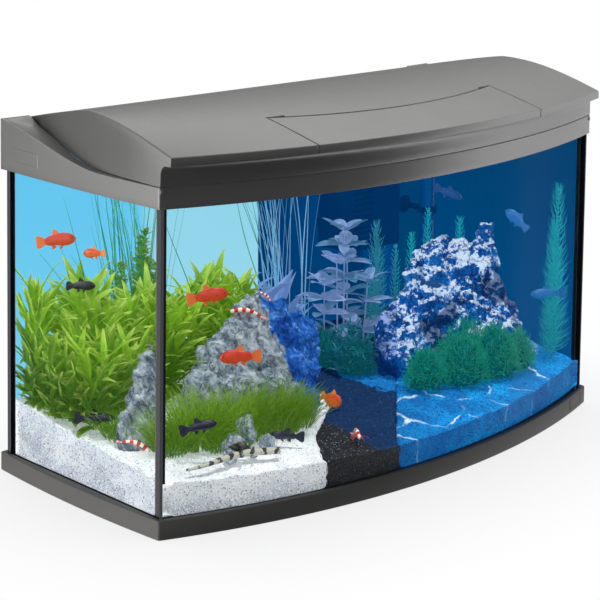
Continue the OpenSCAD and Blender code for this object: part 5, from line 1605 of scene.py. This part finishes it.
def loach():
    g = G("loach_bands")
    at = g.n("Attribute", attribute_name="lv").outputs["Vector"]
    t, h, k = g.xyz(at)
    n = g.noise(160.0, 4.0)
    band = g.math("ADD", g.math("SINE", g.math("MULTIPLY", t, 52.0)), g.map(n, 0.3, 0.7, -1.4, 1.4))
    col = g.mix(g.map(band, 0.3, 0.5), lin(196, 196, 182), lin(58, 60, 54))
    col = g.mix(k, col, lin(40, 44, 36))
    # the emission is a painted glow
    mt = g.done(g.pbr(col, 0.4, 0.5, g.bump(n, 0.0003, 0.4), 0.15))
    V, F, A = [], [], []
    a, b = np.array((-338.0, -104, 72)), np.array((-212.0, -128, 70))
    pts, rad = [], []
    for i in range(25):
        t = i / 24
        p = b + (a - b) * t
        p[1] += 5 * math.sin(t * 5)
        p[2] += 2 * math.sin(t * 4)
        pts.append(p)
        rad.append(4.6 * (0.55 + 0.6 * math.sin(math.pi * min(1, 0.1 + t * 0.75))) * (1 - 0.78 * t) + 0.6)
    tube(V, F, A, pts, rad, nk=10)
    for s, q in ((1, 6), (-1, 6), (1, 8), (-1, 9)):
        c = pts[q]
        tube(V, F, A, [c, c + np.array([-7, 8 * s, 6]), c + np.array([-15, 13 * s, 8])], [2.2, 4.5, 1.0], k=1.0, nk=6, flat=0.3)
    tube(V, F, A, [pts[8], pts[9] + np.array([-3, 0, 12]), pts[10] + np.array([-8, 0, 14])], [1.6, 4.0, 0.8], k=1.0, nk=6, flat=0.3)
    o = mesh("loach", V, F, mt, "tank", attr=A, group=INTERIOR)


loach()

# water skin just under the web
V, F = [], []
nx, ny = 90, 40
for j in range(ny + 1):
    for i in range(nx + 1):
        x = -371 + 742 * i / nx
        y0 = arc_y(x, R_GLASS - 6) + 1.0
        y = y0 + (175 - y0) * j / ny
        V.append((x, y, 384.5 + 0.35 * noise.noise(Vector((x / 40, y / 40, 0)))))
wt = mesh("water_skin", V, grid_faces(ny + 1, nx + 1), water_mat(), "tank")

# ---------------------------------------------------------------- stage, lights, camera
gm = G("pale_floor")
lp = gm.n("LightPath").outputs["Is Camera Ray"]
# camera rays see a glowing near-white floor with a painted contact shadow from ambient occlusion; other rays see a dim
# grey floor
ao = gm.n("AmbientOcclusion", {"Distance": 0.25, "Color": (1, 1, 1)}, samples=6).outputs["AO"]
fine = gm.noise(180.0, 3.0)
sh = gm.mix(gm.map(ao, 0.25, 1.0), (0.78, 0.78, 0.79), (1.0, 1.0, 1.0))
sh = gm.mix(gm.map(fine, 0.4, 0.7, 0, 0.01), sh, (0.95, 0.95, 0.95))
em = gm.n("Emission", {0: sh, 1: 1.0}).outputs[0]
df = gm.n("BsdfDiffuse", {0: (0.30, 0.30, 0.30)}).outputs[0]
gm.done(gm.n("MixShader", {0: lp, 1: df, 2: em}).outputs[0])
fl = mesh("floor", [(-9000, -9000, -0.4), (9000, -9000, -0.4), (9000, 9000, -0.4), (-9000, 9000, -0.4)], [(0, 1, 2, 3)], gm.m, None)
fl.visible_glossy = False

w = bpy.data.worlds.new("studio")
sc.world = w
w.use_nodes = True
gw = G.__new__(G)
gw.m, gw.t, gw._p = None, w.node_tree, None
gw.t.nodes.clear()
wo = gw.t.nodes.new("ShaderNodeOutputWorld")
dirv = gw.n("TexCoord").outputs["Generated"]
dx, dy, dz = gw.xyz(dirv)
az = gw.math("DEGREES", gw.math("ARCTAN2", dy, dx))
el = gw.math("DEGREES", gw.math("ARCSINE", dz))


def box(az0, az1, az2, az3, el0, el1, el2, el3):
    """soft-edged window: rises az0..az1, falls az2..az3, the same in height"""
    a = gw.math("MULTIPLY", gw.map(az, az0, az1), gw.map(az, az2, az3, 1.0, 0.0))
    b = gw.math("MULTIPLY", gw.map(el, el0, el1), gw.map(el, el2, el3, 1.0, 0.0))
    return gw.math("MULTIPLY", a, b)


right = gw.math("MULTIPLY", box(-46, -36, 10, 30, -70, -60, 16, 30), gw.map(az, -40, -6, 5.2, 1.2))
left = gw.math("MULTIPLY", box(118, 156, 178, 180, -70, -60, 8, 26), gw.map(az, 125, 158, 6.0, 13.0))
above = gw.math("MULTIPLY", box(-20, 10, 70, 112, 18, 32, 36, 66), 2.0)
tot = gw.math("ADD", gw.math("ADD", right, left), gw.math("ADD", above, 0.22))
b1 = gw.n("Background", {0: (0.93, 0.96, 1.0), 1: 0.13}).outputs[0]
b2 = gw.n("Background", {0: (1, 1, 1), 1: 1.0}).outputs[0]
b3 = gw.n("Background", {0: (1, 1, 1), 1: tot}).outputs[0]
lpn = gw.n("LightPath")
m1 = gw.n("MixShader", {0: lpn.outputs["Is Glossy Ray"], 1: b1, 2: b3}).outputs[0]
m2 = gw.n("MixShader", {0: lpn.outputs["Is Camera Ray"], 1: m1, 2: b2}).outputs[0]
gw.t.links.new(m2, wo.inputs[0])


def lamp(name, kind, loc, aim, power, size=1.0, size_y=None, col=(1, 1, 1), only=None, block=None, angle=0.1):
    d = bpy.data.lights.new(name, kind)
    d.energy, d.color = power, col
    if kind == "AREA":
        d.shape, d.size, d.size_y = "RECTANGLE", size, size_y or size
    else:
        d.angle = angle
    o = bpy.data.objects.new(name, d)
    sc.collection.objects.link(o)
    o.location = loc
    o.rotation_mode = "QUATERNION"
    o.rotation_quaternion = (Vector(aim) - Vector(loc)).to_track_quat("-Z", "Y")
    if only:
        o.light_linking.receiver_collection = only
    if block:
        o.light_linking.blocker_collection = block
    return o


BOTH = bpy.data.collections.new("lit_shell")
for c in (HOOD, BASE):
    for o in c.objects:
        BOTH.objects.link(o)
# soft boxes: left rear, right, above
for nm, loc, aim, p, sx, sy, only in (
        ("box_left", (-1.7, 0.30, 0.55), (-0.35, 0.02, 0.35), 10, 1.2, 0.9, HOOD),
        ("box_left_low", (-1.5, 0.03, 0.42), (-0.38, -0.02, 0.02), 8, 0.6, 0.5, BASE),
        ("box_top", (0.1, -0.5, 2.4), (0.0, 0.0, 0.4), 33, 1.8, 1.4, HOOD),
        ("box_right", (1.9, -0.5, 0.5), (0.1, -0.1, 0.40), 6, 1.2, 1.2, HOOD),
        ("fill_front", (-0.6, -2.2, 0.5), (0.0, 0.0, 0.2), 3, 1.5, 1.0, BASE)):
    lo_ = lamp(nm, "AREA", loc, aim, p, sx, sy, only=only)
    lo_.visible_glossy = False
lamp("sun_inside", "SUN", (-0.3, -0.5, 2.0), (-0.05, 0.0, 0.0), 2.1, col=(1.0, 1.0, 0.98), only=INTERIOR, block=INTERIOR, angle=0.15)
lamp("fill_inside", "SUN", (-1.7, -1.7, 1.0), (0.0, 0.0, 0.2), 0.9, only=INTERIOR, block=INTERIOR, angle=0.8)

cd = bpy.data.cameras.new("view")
cam = bpy.data.objects.new("view", cd)
sc.collection.objects.link(cam)
Mx = Matrix((RIGHT, UP, -FWD)).transposed().to_4x4()
Mx.translation = EYE_AT
cam.matrix_world = Mx
cd.sensor_width, cd.lens = 36.0, 115.852
cd.clip_start, cd.clip_end = 0.05, 50
# the lens shift belongs to the main view only: a view from elsewhere has none
for path, val in (("shift_x", 0.15012), ("shift_y", -0.51563)):
    dr = cd.driver_add(path).driver
    dr.type = "SCRIPTED"
    for nm, ch in (("cx", "LOC_X"), ("cy", "LOC_Y")):
        vr = dr.variables.new()
        vr.name, vr.type = nm, "TRANSFORMS"
        vr.targets[0].id = cam
        vr.targets[0].transform_type = ch
        vr.targets[0].transform_space = "WORLD_SPACE"
    dr.expression = "%.5f if abs(cx + 1.72186) < 0.001 and abs(cy + 1.69924) < 0.001 else 0" % val
sc.camera = cam
bpy.context.view_layer.update()
